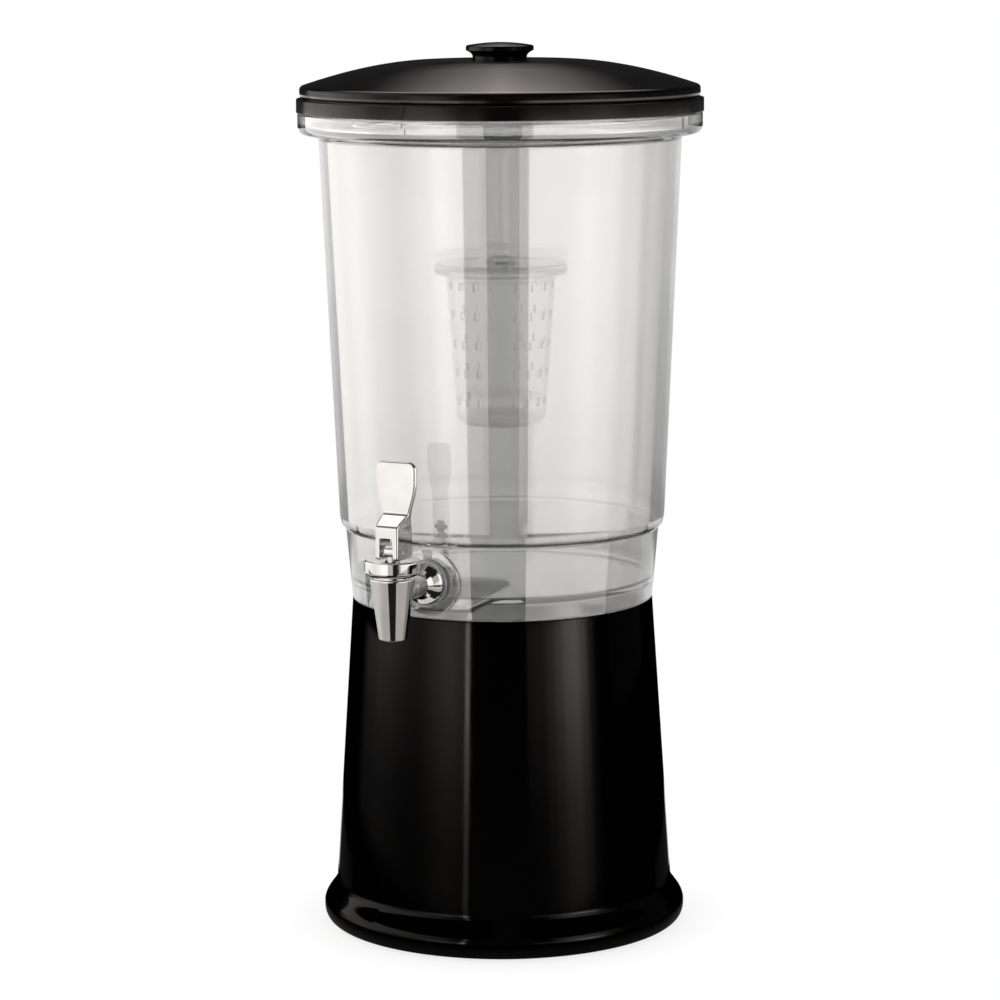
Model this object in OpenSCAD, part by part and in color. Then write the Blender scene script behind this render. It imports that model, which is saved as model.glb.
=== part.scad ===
// Cold drink dispenser: a clear tapered container on a black stand, a twist-lock lid
// that carries a hanging fruit infuser, and a sprung lever tap at the front.
// Millimetres, +Z up. The origin is on the table, on the container's axis; the tap points to -Y.

/* [Stand] */
// Height of the stand's top rim above the table
stand_h = 229.6; // [200:0.2:260]
// Outer radius of the stand's top rim
stand_top_r = 104.3; // [98:0.1:112]
// How much the wall widens from the rim down to the foot bead
stand_flare = 13.1; // [6:0.1:20]
// Wall of the stand
stand_wall = 3; // [2.4:0.1:4]
// How far the foot bead stands out of the wall
bead_out = 9.2; // [5:0.1:14]
// Height of the foot bead above the table
bead_h = 30.5; // [24:0.5:36]
// Height of the bead's widest line above its lower edge
bead_low_h = 8.3; // [5:0.1:11]
// Height of the bead's upright belt above that line
bead_belt = 2; // [0.5:0.1:4]
// How far the bead tucks in again at its lower edge
bead_tuck = 5.6; // [3:0.1:8]
// Depth of the deck's top below the rim
deck_depth = 14; // [12:0.5:24]
// Thickness of the deck
deck_t = 3; // [2:0.1:5]
// Number of stiffening ribs under the deck
rib_n = 6; // [3:1:10]
// Thickness of a rib
rib_t = 2.5; // [1.5:0.1:4]
// Distance of a rib's inner end from the axis
rib_start = 8; // [4:0.5:20]
// Height of a rib
rib_h = 18; // [8:1:40]
// Width of the rubber foot ring
foot_ring_w = 8; // [5:0.5:10]
// Thickness of the rubber foot ring
foot_ring_t = 3; // [2:0.1:4]
// How far the foot ring stands below the stand
foot_ring_proud = 1.2; // [0.6:0.1:1.8]

/* [Container] */
// Wall of the container
vessel_wall = 3; // [2.4:0.1:3.6]
// Height of the narrower lower wall, from the stand's rim to the step
lower_h = 49.5; // [40:0.5:56]
// How much the lower wall widens over its height
lower_flare = 4.44; // [1:0.02:6]
// How far the wall steps out above the lower wall
step_out = 4.2; // [3.4:0.1:7]
// Height of the rounded step
step_h = 8.5; // [7:0.1:12]
// Height of the tapered body above the step
body_h = 257.1; // [220:0.1:300]
// How much the body widens over its height
body_flare = 11.5; // [4:0.1:20]
// Height of the cove between the body and the collar
cove_h = 5.9; // [5.5:0.1:10]
// How far the collar stands out of the body
collar_out = 14.06; // [12:0.02:20]
// Height of the collar
collar_h = 14; // [13.5:0.1:24]
// How far the neck above the collar is set in
neck_inset = 4.6; // [4:0.1:6.5]
// Height of the neck inside the lid's skirt
neck_h = 10.4; // [9.6:0.1:14]
// Height of the floor above the stand's rim
floor_rise = 14.4; // [13:0.1:16]
// Thickness of the floor
floor_t = 3; // [2:0.1:4]
// Depth of the spigot that drops into the stand
spigot_h = 9.6; // [5:0.1:11]
// Radial clearance of the spigot in the stand
spigot_clear = 0.5; // [0.3:0.05:1]
// Depth of the drain channel where it meets the tap wall
sump_depth = 7; // [4:0.1:8]
// Flat width of the drain channel
sump_w = 50; // [44:1:70]
// Slope of each side of the drain channel, as a run beside the flat
sump_side = 15; // [8:1:24]
// Length of the drain channel from the wall towards the middle
sump_len = 66; // [40:1:80]
// Radius of the flat pad around the tap hole
pad_r = 23; // [19:0.1:23.4]
// How far the pad's flat face stands out of the lower wall
pad_out = 1.8; // [1:0.1:4]
// Thickness of the wall between the pad and the spot face inside it
pad_t = 4.5; // [3.5:0.1:5.5]
// Number of stop ribs around the collar
mark_n = 4; // [2:1:6]
// Width of a stop rib
mark_w = 5; // [3:0.1:8]
// Height of a stop rib
mark_h = 7.4; // [5:0.1:12]
// How far a stop rib stands out
mark_out = 0.7; // [0.4:0.1:1]
// Depth of the spot face for the inner washer
spot_depth = 8; // [6:0.5:10]

/* [Lid] */
// How far the lid's skirt stands out past the collar
skirt_over = 0.8; // [0.2:0.1:2]
// Wall of the skirt
skirt_wall = 2.4; // [2:0.1:2.8]
// Height of the skirt band
skirt_h = 9.4; // [8:0.1:12]
// Gap between the skirt and the collar's top
skirt_gap = 0.3; // [0.2:0.05:0.6]
// How far the dome's side wall is set in from the skirt
dome_inset = 2.3; // [1.5:0.1:4]
// Height of the dome's side wall up to the edge of its sloped top
dome_side_h = 8.2; // [6:0.1:12]
// Rise of the dome from that edge to its flat middle
dome_rise = 17.5; // [12:0.1:26]
// Radius of the dome's flat middle
dome_flat_r = 50; // [36:0.5:66]
// How the slope bends from the flat middle to the edge: 1 is a cone, 2 is a parabola
dome_bend = 1.7; // [1.4:0.05:2.2]
// Round of the dome's edge
dome_round = 3; // [1:0.1:4]
// Wall of the dome
lid_wall = 2.8; // [2.2:0.1:3.4]
// Height of the seal between the neck's rim and the lid
seal_h = 2.6; // [2.2:0.1:3]
// Width of the seal
seal_w = 4; // [3:0.1:4.6]
// Number of locking lugs on the lid and on the neck
lug_n = 4; // [3:1:5]
// Angle that a lug spans
lug_span = 13; // [8:1:16]
// Height of a lug
lug_h = 2.4; // [1.8:0.1:3]
// Turn that locks the lid
lock_turn = 27; // [20:1:32]
// Clearance around the lugs
lug_clear = 0.5; // [0.3:0.05:0.7]
// Depth of the rib that centres the lid in the neck
guide_h = 4; // [2:0.1:6]
// Gap between that rib and the seal
guide_gap = 0.4; // [0.3:0.05:0.6]
// Width of the pointer on the skirt
pointer_w = 7; // [4:0.1:10]
// How far the pointer stands out
pointer_out = 0.7; // [0.4:0.1:1]
// Radius of the boss under the dome
lid_boss_r = 12; // [10:0.5:16]
// Height of the boss under the dome
lid_boss_h = 9; // [5:0.5:12]

/* [Knob] */
// Radius of the knob's rim
knob_r = 23.2; // [21:0.1:30]
// Radius of the knob's waist
knob_waist_r = 18.6; // [16:0.1:20.6]
// Height of the knob
knob_h = 11.8; // [10:0.1:20]
// Thickness of the knob's rim
knob_rim_h = 3.2; // [2:0.1:4]
// Crown of the knob's top
knob_crown = 2.2; // [0.5:0.1:3]
// Outer radius of the threaded insert in the knob
insert_r = 6.5; // [5.5:0.1:9]
// Height of the threaded insert
insert_h = 5.4; // [3:0.1:5.6]

/* [Infuser] */
// Radius of the clear hanging rod
rod_r = 5; // [4.6:0.1:7]
// Length of the rod between its collar and the infuser cap
rod_len = 118.3; // [90:0.1:170]
// Radius of the studs at the rod's ends
stud_r = 4; // [3:0.1:4.4]
// Radial clearance of a stud in its hole
stud_clear = 0.05; // [0.02:0.01:0.1]
// Thickness of the rod's collar under the lid
rod_collar_h = 4; // [2:0.1:8]
// Radius of the infuser's rim
rim_r = 46; // [42:0.1:52]
// Thickness of the cap's rim
cap_h = 3.8; // [3:0.1:6]
// Radius of the cap's centre boss
cap_boss_r = 9.5; // [8:0.1:14]
// Height of the cap's centre boss
cap_boss_h = 4.4; // [3:0.1:8]
// Depth of the ring under the cap that plugs into the basket
plug_h = 8; // [4:0.1:10]
// Radial clearance of that ring in the basket
plug_clear = 0.3; // [0.2:0.05:0.6]
// Thickness of the basket's rim
basket_rim_h = 3.8; // [3:0.1:5]
// Height of the basket below its rim
basket_h = 104.3; // [96:0.5:130]
// Outer radius of the basket under its rim
basket_top_r = 37.9; // [35:0.1:40.5]
// Outer radius of the basket above its rounded bottom
basket_low_r = 31; // [27:0.1:36]
// Radius of the basket's rounded bottom edge
basket_round = 8; // [5:0.1:12]
// Wall of the basket
basket_wall = 2; // [1.6:0.1:2.6]
// Number of slot rows
slot_rows = 5; // [2:1:5]
// Height between slot rows
slot_pitch = 20; // [14:0.5:21]
// Distance from the basket's rim to the first row
slot_drop = 7; // [6:0.1:10]
// Slots around the basket
slot_n = 18; // [8:2:24]
// Width of a slot
slot_w = 4; // [2:0.1:5]
// Height of a slot
slot_h = 6; // [3:0.1:9]

/* [Tap] */
// Height of the tap's inlet above the stand's rim
tap_rise = 25.9; // [25:0.1:28]
// Distance of the spout's axis from the pad face
tap_reach = 47.8; // [44:0.1:64]
// Radius of the inlet shank
shank_r = 8.2; // [7:0.1:9]
// Length of the shank past the pad face
shank_len = 19.5; // [17:0.1:24]
// Radius of the drink passage in the shank
inlet_r = 4; // [3.5:0.1:5.4]
// Radial clearance of the shank in the container
shank_clear = 0.4; // [0.2:0.05:0.8]
// Radius of the arm between the flange and the spout
arm_r = 7.8; // [7:0.1:9]
// Radius of the wall flange
flange_r = 14.6; // [13:0.1:17]
// Thickness of the flange's edge
flange_h = 3; // [2:0.1:4]
// Length of the flange's rounded back
flange_back = 6.5; // [3:0.1:9]
// Thickness of the washers on both sides of the wall
washer_t = 2.4; // [1.5:0.1:3]
// Radius of the washers
washer_r = 15.4; // [13.5:0.1:17]
// Size of the lock nut across its corners
nut_corner_d = 30; // [26:0.5:33]
// Thickness of the lock nut
nut_h = 8; // [5:0.1:9]
// Radius of the spout's tip
tip_r = 9.3; // [8.4:0.1:10.5]
// Depth of the spout's tip below the inlet
tip_drop = 30.6; // [24:0.1:36]
// Radius of the spout's shoulder under the bonnet
shoulder_r = 15.1; // [13.6:0.1:16]
// Height of the shoulder above the inlet
shoulder_rise = 10.8; // [10:0.1:16]
// Radius of the outlet passage
outlet_r = 6.2; // [5:0.1:6.6]
// Height of the valve seat below the inlet
seat_drop = 9.3; // [6:0.1:10]
// Radius of the valve chamber
chamber_r = 9.2; // [8.8:0.1:9.8]
// Outer radius of the threaded neck inside the bonnet
tap_neck_r = 12.6; // [11.6:0.1:13.2]
// Radius of the bonnet
bonnet_r = 18.7; // [16.4:0.1:20]
// Height of the bonnet
bonnet_h = 10.5; // [9.5:0.1:14]
// Gap between the spout's shoulder and the bonnet
bonnet_gap = 1.8; // [0.5:0.1:2]
// Thickness of the bonnet's top
bonnet_top_t = 3; // [2:0.1:4]
// Clearance between the neck and the bonnet
thread_clear = 0.1; // [0.05:0.01:0.3]
// Thickness of the gasket between the neck and the bonnet
gasket_t = 1.4; // [0.8:0.1:2]

/* [Valve] */
// Radius of the valve stem
stem_r = 3.5; // [3:0.1:3.8]
// Radial running clearance of the stem
stem_clear = 0.1; // [0.05:0.01:0.2]
// Radius of the stem's spring collar
stem_collar_r = 7; // [6.8:0.1:7.8]
// Thickness of the stem's spring collar
stem_collar_h = 3; // [2:0.1:4]
// Radius of the silicone plug
plug_r = 7.6; // [7:0.1:8.2]
// Thickness of the silicone plug
plug_t = 4.4; // [3:0.1:5]
// Length of the plug's nose below the seat
nose_h = 4; // [2:0.1:6]
// Radial clearance of the plug's nose in the outlet
nose_clear = 0.8; // [0.4:0.1:1.2]
// Length of the stem's end inside the plug
stem_sunk = 3.4; // [2:0.1:3.6]
// Wire radius of the seal ring round the stem
o_ring_r = 1.35; // [1:0.05:1.6]
// Thickness of the washer over the spring
spring_washer_t = 1.2; // [0.8:0.1:1.6]
// Outer radius of the washer over the spring
spring_washer_r = 8.4; // [7.8:0.1:8.6]
// Wire diameter of the return spring
wire_d = 1; // [0.7:0.05:1.2]
// Mean radius of the return spring
spring_r = 5.3; // [5:0.05:5.8]
// Turns of the return spring
spring_turns = 6; // [4:0.5:7]

/* [Lever] */
// Height of the pivot above the bonnet
pivot_rise = 4.6; // [4:0.1:7]
// Gap between the lever's foot and the bonnet
foot_gap = 0.15; // [0.1:0.05:0.3]
// Stem lift for each radian of lever tilt
cam_rate = 5.5; // [4:0.1:7]
// Largest lever tilt
lever_tilt = 35; // [20:1:40]
// Width of the lever's foot
foot_w = 17; // [15.4:0.1:20]
// Distance of the heel behind the pivot
heel = 13; // [8:0.1:15]
// Width of the fork slot in the foot
fork_w = 10; // [8.2:0.1:11]
// Height of the fork slot above the pivot
fork_rise = 10.4; // [9:0.1:13]
// Room behind the stem's eye in the fork slot
fork_back = 2.5; // [1:0.1:4]
// Width of the stem's eye between the fork's cheeks
eye_w = 8; // [6:0.1:8]
// Radius of the stem's eye
eye_r = 4.3; // [4:0.1:4.4]
// Radius of the pivot pin
pin_r = 1.6; // [1.2:0.1:2]
// Radial clearance of the pin in the eye
pin_clear = 0.05; // [0.02:0.01:0.1]
// Height of the foot's front face above the pivot
foot_face_h = 18; // [16:0.1:22]
// Height above the pivot where the lever starts to widen
blade_start = 15; // [12:0.1:18]
// Height above the pivot where the paddle has its full width
blade_full = 46; // [40:0.1:50]
// Height of the paddle's tip above the pivot
paddle_h = 59.6; // [50:0.1:72]
// Width of the paddle at its top
paddle_w = 30; // [24:0.1:36]
// Height of the curved neck between the foot and the paddle
neck_rise = 8; // [5:0.1:12]
// Thickness of the paddle
paddle_t = 4.5; // [3:0.1:6]
// Distance of the paddle's face behind the pivot
paddle_back = 4; // [0:0.1:5]
// Radius of the paddle's upper corners
paddle_corner = 6; // [3:0.1:10]

/* [Hidden] */
$fn = 72;
eps = 0.01;
over = 1;
// small and soft edge breaks
edge = 0.6;
soft_edge = 1;

// Stand
stand_low_r = stand_top_r + stand_flare;
bead_r = stand_low_r + bead_out;
stand_z0 = foot_ring_proud;
bead_belt_z = stand_z0 + bead_low_h + bead_belt;
deck_z = stand_h - deck_depth;
foot_ring_r = bead_r - bead_tuck - stand_wall;
foot_in_r = foot_ring_r - foot_ring_w;
foot_groove = foot_ring_t - foot_ring_proud;

// Container, from the stand's rim upwards
lower_top_r = stand_top_r + lower_flare;
body_low_r = lower_top_r + step_out;
body_top_r = body_low_r + body_flare;
collar_r = body_top_r + collar_out;
neck_r = collar_r - neck_inset;
spigot_r = stand_top_r - stand_wall - spigot_clear;
step_z = stand_h + lower_h;
body_z = step_z + step_h;
cove_z = body_z + body_h;
collar_z = cove_z + cove_h;
collar_top_z = collar_z + collar_h;
mouth_z = collar_top_z + neck_h;
floor_z = stand_h + floor_rise;
sump_z = floor_z - sump_depth;
collar_round = 4.5;
cove_round = cove_h - 2;
step_round = 4;
floor_round = 3;

// Tap places
tap_z = stand_h + tap_rise;
pad_y = stand_top_r + lower_flare * tap_rise / lower_h + pad_out;
spot_y = pad_y - pad_t;
spot_r = washer_r + 2 * edge;
spout_y = pad_y + tap_reach;
flange_y = pad_y + washer_t;
shank_end_y = pad_y - shank_len;
nut_y = spot_y - washer_t;
tip_z = tap_z - tip_drop;
seat_z = tap_z - seat_drop;
shoulder_z = tap_z + shoulder_rise;
bonnet_z = shoulder_z + bonnet_gap;
bonnet_top_z = bonnet_z + bonnet_h;
bonnet_under_z = bonnet_top_z - bonnet_top_t;
tap_neck_z = bonnet_under_z - gasket_t;
pivot_z = bonnet_top_z + pivot_rise;
bonnet_round = 1.6;
bonnet_low_round = 4.5;
plug_top_z = seat_z + plug_t;
spring_z0 = plug_top_z + stem_collar_h;
washer_under_z = bonnet_under_z - 2 * o_ring_r - spring_washer_t;
lever_foot_drop = pivot_rise - foot_gap;
toe_out = cam_point(lever_tilt)[0];

// Lid places
lid_r = collar_r + skirt_over;
skirt_in_r = lid_r - skirt_wall;
skirt_z = collar_top_z + skirt_gap;
dome_r = lid_r - dome_inset;
dome_z = skirt_z + skirt_h;
dome_edge_z = dome_z + dome_side_h;
crown_z = dome_edge_z + dome_rise;
dome_lean = atan(dome_bend * dome_rise / (dome_r - dome_flat_r));
dome_top_r = dome_r - dome_round * (1 - sin(dome_lean));
dome_round_z = dome_top(dome_top_r) - dome_round * cos(dome_lean);
land_z = mouth_z + seal_h;
seal_r = neck_r - vessel_wall / 2;
guide_r = seal_r - seal_w / 2 - guide_gap;
lid_lug_z = skirt_z + edge;
neck_lug_z = lid_lug_z + lug_h + lug_clear;
neck_lug_r = skirt_in_r - lug_clear;
lid_lug_r = neck_r + lug_clear;
lug_angle = 45;
boss_z = crown_z - lid_wall - lid_boss_h;
knob_edge_h = knob_h - knob_crown;
waist_h = (knob_edge_h - knob_rim_h) / 3;

// Infuser places
rod_collar_z = boss_z - rod_collar_h;
cap_boss_z = rod_collar_z - rod_len;
cap_top_z = cap_boss_z - cap_boss_h;
rim_z = cap_top_z - cap_h;
basket_under_z = rim_z - basket_rim_h;
basket_z = basket_under_z - basket_h;
basket_in_r = basket_top_r - basket_wall;
cap_ring_r = basket_in_r - plug_clear;
stud_z = rim_z + soft_edge;
boss_cove = 3;
rim_cove = 3;

// Points along an arc round centre c
function arc(c, r, a0, a1, n = 6) =
    [for (i = [0 : n]) let (a = a0 + (a1 - a0) * i / n) [c[0] + r * cos(a), c[1] + r * sin(a)]];

// Height of the dome over radius r, and its outline from radius r to the axis, lowered by drop
function dome_top(r) =
    crown_z - dome_rise * pow((r - dome_flat_r) / (dome_r - dome_flat_r), dome_bend);
function dome_line(r, drop) = concat(
    [for (i = [0 : 16]) let (x = dome_flat_r + (r - dome_flat_r) * cos(i * 90 / 16)) [x, dome_top(x) - drop]],
    [[0, crown_z - drop]]
);

// The lever's toe lifts the stem by cam_rate for each radian, so its outline is an involute:
// the point that rests on the bonnet at tilt t, as [ahead of the pivot, above the pivot]
function cam_point(t) =
    let (reach = lever_foot_drop + cam_rate * t * PI / 180)
    [reach * sin(t) + cam_rate * cos(t), -reach * cos(t) + cam_rate * sin(t)];

module along_tap(y) translate([0, -y, tap_z]) rotate([90, 0, 0]) children();
module at_spout() translate([0, -spout_y, 0]) children();
module ring(r_out, r_in, z, h) translate([0, 0, z]) difference() {
    cylinder(r = r_out, h = h);
    translate([0, 0, -over]) cylinder(r = r_in, h = h + 2 * over);
}
module lugs(r_in, r_out, z, turn) for (i = [0 : lug_n - 1])
    rotate([0, 0, lug_angle + turn + i * 360 / lug_n - lug_span / 2])
        rotate_extrude(angle = lug_span)
            translate([r_in, z]) square([r_out - r_in, lug_h]);

// Stand

module stand_outline(inset) {
    polygon(concat(
        [[0, stand_z0]],
        [for (i = [0 : 6]) let (a = i * 15)
            [bead_r - inset - bead_tuck * (1 - sin(a)), stand_z0 + bead_low_h * (1 - cos(a))]],
        [for (i = [0 : 10]) let (t = i / 10) [
            stand_low_r - inset + bead_out * (1 + cos(180 * t)) / 2,
            bead_belt_z + (bead_h - bead_belt_z) * t
        ]],
        [[stand_top_r - inset, stand_h], [0, stand_h]]
    ));
}

module stand() color([0.03, 0.028, 0.028]) {
    difference() {
        rotate_extrude() stand_outline(0);
        // hollow below the deck
        intersection() {
            rotate_extrude() stand_outline(stand_wall);
            translate([0, 0, -over]) cylinder(r = bead_r, h = deck_z - deck_t + over);
        }
        // seat for the container's spigot above the deck
        translate([0, 0, deck_z]) cylinder(r = stand_top_r - stand_wall, h = deck_depth + over);
    }
    // foot flange that carries the rubber ring
    difference() {
        ring(bead_r - bead_tuck, foot_in_r - stand_wall, stand_z0, foot_groove + stand_wall);
        ring(foot_ring_r, foot_in_r, stand_z0 - over, foot_groove + over);
    }
    // stiffening ribs under the deck
    for (i = [0 : rib_n - 1]) rotate([0, 0, (i + 0.5) * 360 / rib_n])
        translate([rib_start, -rib_t / 2, deck_z - deck_t - rib_h])
            cube([stand_top_r - stand_wall - rib_start + edge, rib_t, rib_h + eps]);
}

module foot_ring() color([0.05, 0.05, 0.05])
    ring(foot_ring_r, foot_in_r, 0, foot_ring_t);

// Container

module vessel_outside() polygon(concat(
    [[0, stand_h - spigot_h], [spigot_r, stand_h - spigot_h], [spigot_r, stand_h], [stand_top_r, stand_h]],
    [[lower_top_r, step_z]],
    arc([body_low_r - step_round, step_z + step_round + soft_edge], step_round, -60, -4),
    [[body_low_r, body_z], [body_top_r, cove_z]],
    arc([body_top_r + cove_round, cove_z], cove_round, 180, 100),
    arc([collar_r - collar_round, collar_z + collar_round], collar_round, -80, 0),
    [[collar_r, collar_top_z - soft_edge], [collar_r - soft_edge, collar_top_z]],
    [[neck_r, collar_top_z], [neck_r, mouth_z - soft_edge], [neck_r - soft_edge, mouth_z], [0, mouth_z]]
));

module vessel_inside() {
    w = vessel_wall;
    ledge_z = collar_z + w + 2 * soft_edge;
    polygon(concat(
        [[0, floor_z]],
        arc([lower_in_r(floor_z + floor_round) - floor_round, floor_z + floor_round], floor_round, -90, -5),
        [[lower_top_r - w, step_z + soft_edge]],
        [[body_low_r - w - soft_edge / 2, step_z + step_round + soft_edge]],
        [[body_low_r - w, body_z], [body_top_r - w, cove_z + w]],
        arc([body_top_r - w + cove_round, cove_z + w], cove_round, 180, 100),
        [[neck_r - w - soft_edge, ledge_z], [neck_r - w, ledge_z + soft_edge]],
        [[neck_r - w, mouth_z + over], [0, mouth_z + over]]
    ));
}
function lower_in_r(z) = stand_top_r + lower_flare * (z - stand_h) / lower_h - vessel_wall;

// The drain channel's cross-section, run along a line that falls from the floor to the tap wall
module drain_channel(grow) {
    fall = atan(sump_depth / sump_len);
    translate([0, -(lower_in_r(floor_z) - sump_len), floor_z - grow])
        rotate([90 + fall, 0, 0]) linear_extrude(sump_len * 1.4)
            polygon([
                [-sump_w / 2 - grow / 2, 0],
                [sump_w / 2 + grow / 2, 0],
                [sump_w / 2 + sump_side + grow, sump_depth + grow],
                [-sump_w / 2 - sump_side - grow, sump_depth + grow]
            ]);
}

module container() color([0.86, 0.88, 0.88, 0.35]) difference() {
    union() {
        difference() {
            rotate_extrude() vessel_outside();
            rotate_extrude() vessel_inside();
            // recess under the floor, clear of the channel's underside
            difference() {
                translate([0, 0, stand_h - spigot_h - over])
                    cylinder(r = spigot_r - vessel_wall, h = spigot_h + floor_rise - floor_t + over);
                drain_channel(floor_t);
            }
            intersection() {
                drain_channel(0);
                translate([0, 0, sump_z - over])
                    cylinder(r = lower_in_r(floor_z), h = sump_depth + 2 * over);
            }
        }
        along_tap(spot_y) cylinder(r = pad_r, h = pad_t);
        lugs(neck_r - eps, neck_lug_r, neck_lug_z, 0);
        for (i = [0 : mark_n - 1]) rotate([0, 0, -90 + i * 360 / mark_n])
            translate([collar_r - over, -mark_w / 2, collar_z + collar_round + soft_edge]) {
                cube([over + mark_out, mark_w, mark_h / 2]);
                cube([over + mark_out, mark_w / 2, mark_h]);
            }
    }
    along_tap(spot_y - spot_depth) cylinder(r = spot_r, h = spot_depth);
    along_tap(spot_y - over) cylinder(r = shank_r + shank_clear, h = pad_t + 2 * over);
}

// Lid

module lid_seal() color([0.75, 0.75, 0.74]) ring(seal_r + seal_w / 2, seal_r - seal_w / 2, mouth_z, seal_h);

module lid_outside() polygon(concat(
    [[0, skirt_z], [lid_r - edge, skirt_z], [lid_r, skirt_z + edge]],
    [[lid_r, dome_z - edge], [lid_r - edge, dome_z], [dome_r, dome_z]],
    arc([dome_r - dome_round, dome_round_z], dome_round, 0, 85 - dome_lean),
    dome_line(dome_top_r, 0)
));

module lid_inside() polygon(concat(
    [[0, skirt_z - over], [skirt_in_r, skirt_z - over], [skirt_in_r, land_z]],
    [[guide_r, land_z], [guide_r, mouth_z - guide_h], [guide_r - lid_wall, mouth_z - guide_h]],
    dome_line(guide_r - lid_wall, lid_wall)
));

// Pointer on the skirt that lines up with a stop rib on the collar
module pointer() rotate([90, 0, 0]) linear_extrude(lid_r + pointer_out)
    polygon([[-pointer_w / 2, dome_z - edge], [0, skirt_z], [pointer_w / 2, dome_z - edge]]);

module lid() color([0.035, 0.032, 0.032]) {
    difference() {
        rotate_extrude() lid_outside();
        rotate_extrude() lid_inside();
        translate([0, 0, crown_z - lid_wall - over])
            cylinder(r = stud_r + stud_clear, h = lid_wall + 2 * over);
    }
    ring(lid_boss_r, stud_r + stud_clear, boss_z, lid_boss_h + edge);
    lugs(lid_lug_r, skirt_in_r + eps, lid_lug_z, lock_turn);
    difference() {
        pointer();
        cylinder(r = lid_r - edge, h = dome_z + over);
    }
}

module knob() color([0.03, 0.028, 0.028]) difference() {
    rotate_extrude() polygon(concat(
        [[0, crown_z], [knob_waist_r, crown_z]],
        [for (i = [0 : 6]) let (t = i / 6) [
            knob_waist_r + (knob_r - knob_waist_r) * t * t,
            crown_z + waist_h + (knob_edge_h - knob_rim_h - waist_h) * t
        ]],
        arc([knob_r - knob_rim_h / 2, crown_z + knob_edge_h - knob_rim_h / 2], knob_rim_h / 2, 0, 80),
        [for (i = [3 : -1 : 0]) let (r = knob_r * i / 4)
            [r, crown_z + knob_h - knob_crown * pow(r / knob_r, 2)]]
    ));
    translate([0, 0, crown_z - over]) cylinder(r = insert_r, h = insert_h + over);
}

module knob_insert() color([0.72, 0.55, 0.25]) ring(insert_r, stud_r + stud_clear, crown_z, insert_h);

// Infuser

module hanging_rod() color([0.86, 0.88, 0.88, 0.35]) {
    translate([0, 0, rod_collar_z]) cylinder(r = lid_boss_r, h = rod_collar_h);
    translate([0, 0, rod_collar_z]) cylinder(r = stud_r, h = crown_z + insert_h - rod_collar_z);
    translate([0, 0, cap_boss_z]) cylinder(r = rod_r, h = rod_len + eps);
    translate([0, 0, stud_z]) cylinder(r = stud_r, h = cap_boss_z - stud_z + eps);
}

module infuser_cap() color([0.86, 0.88, 0.88, 0.35]) difference() {
    union() {
        rotate_extrude() polygon(concat(
            [[0, rim_z], [rim_r - edge, rim_z], [rim_r, rim_z + edge]],
            [[rim_r, cap_top_z - soft_edge], [rim_r - soft_edge, cap_top_z]],
            arc([cap_boss_r + boss_cove, cap_top_z + boss_cove], boss_cove, -90, -160),
            [[cap_boss_r - soft_edge, cap_boss_z], [0, cap_boss_z]]
        ));
        ring(cap_ring_r, cap_ring_r - basket_wall, rim_z - plug_h, plug_h + eps);
    }
    translate([0, 0, stud_z]) cylinder(r = stud_r + stud_clear, h = cap_boss_z - stud_z + over);
}

module infuser_basket() color([0.86, 0.88, 0.88, 0.35]) difference() {
    rotate_extrude() polygon(concat(
        [[0, basket_z]],
        arc([basket_low_r - basket_round, basket_z + basket_round], basket_round, -90, 0, 8),
        [[basket_top_r, basket_under_z]],
        arc([rim_r - rim_cove, basket_under_z + rim_cove], rim_cove, -90, -10, 5),
        [[rim_r, rim_z], [0, rim_z]]
    ));
    rotate_extrude() polygon(concat(
        [[0, basket_z + basket_wall]],
        arc([basket_low_r - basket_round, basket_z + basket_round], basket_round - basket_wall, -90, 0, 8),
        [[basket_in_r, basket_under_z], [basket_in_r, rim_z + over], [0, rim_z + over]]
    ));
    for (row = [0 : slot_rows - 1], i = [0 : slot_n / 2 - 1])
        rotate([0, 0, 90 + i * 360 / slot_n])
            translate([0, 0, basket_under_z - slot_drop - row * slot_pitch])
                cube([2 * rim_r, slot_w, slot_h], center = true);
}

// Tap

module tap_body() color([0.78, 0.77, 0.75]) difference() {
    union() {
        at_spout() rotate_extrude() polygon([
            [0, tip_z], [tip_r - edge, tip_z], [tip_r, tip_z + edge],
            [shoulder_r, shoulder_z - edge], [shoulder_r - edge, shoulder_z],
            [tap_neck_r, shoulder_z], [tap_neck_r, tap_neck_z], [0, tap_neck_z]
        ]);
        along_tap(flange_y) cylinder(r = arm_r, h = tap_reach - washer_t);
        along_tap(0) rotate_extrude() polygon(concat(
            [[0, shank_end_y], [shank_r - edge, shank_end_y], [shank_r, shank_end_y + edge]],
            [[shank_r, flange_y], [flange_r, flange_y]],
            [for (i = [0 : 6]) let (a = i * 15)
                [arm_r + (flange_r - arm_r) * cos(a), flange_y + flange_h + flange_back * sin(a)]],
            [[0, flange_y + flange_h + flange_back]]
        ));
    }
    at_spout() {
        translate([0, 0, tip_z - over]) cylinder(r = outlet_r, h = seat_z - tip_z + 2 * over);
        translate([0, 0, seat_z]) cylinder(r = chamber_r, h = tap_neck_z - seat_z + over);
    }
    along_tap(shank_end_y - over) cylinder(r = inlet_r, h = spout_y - shank_end_y + over);
}

module tap_bonnet() color([0.8, 0.79, 0.77]) at_spout() difference() {
    rotate_extrude() polygon(concat(
        [[0, bonnet_z]],
        arc([bonnet_r - bonnet_low_round, bonnet_z + bonnet_low_round], bonnet_low_round, -90, 0),
        arc([bonnet_r - bonnet_round, bonnet_top_z - bonnet_round], bonnet_round, 0, 90),
        [[0, bonnet_top_z]]
    ));
    translate([0, 0, bonnet_z - over])
        cylinder(r = tap_neck_r + thread_clear, h = bonnet_h - bonnet_top_t + over);
    translate([0, 0, bonnet_under_z - over]) cylinder(r = stem_r + stem_clear, h = bonnet_top_t + 2 * over);
}

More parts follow.
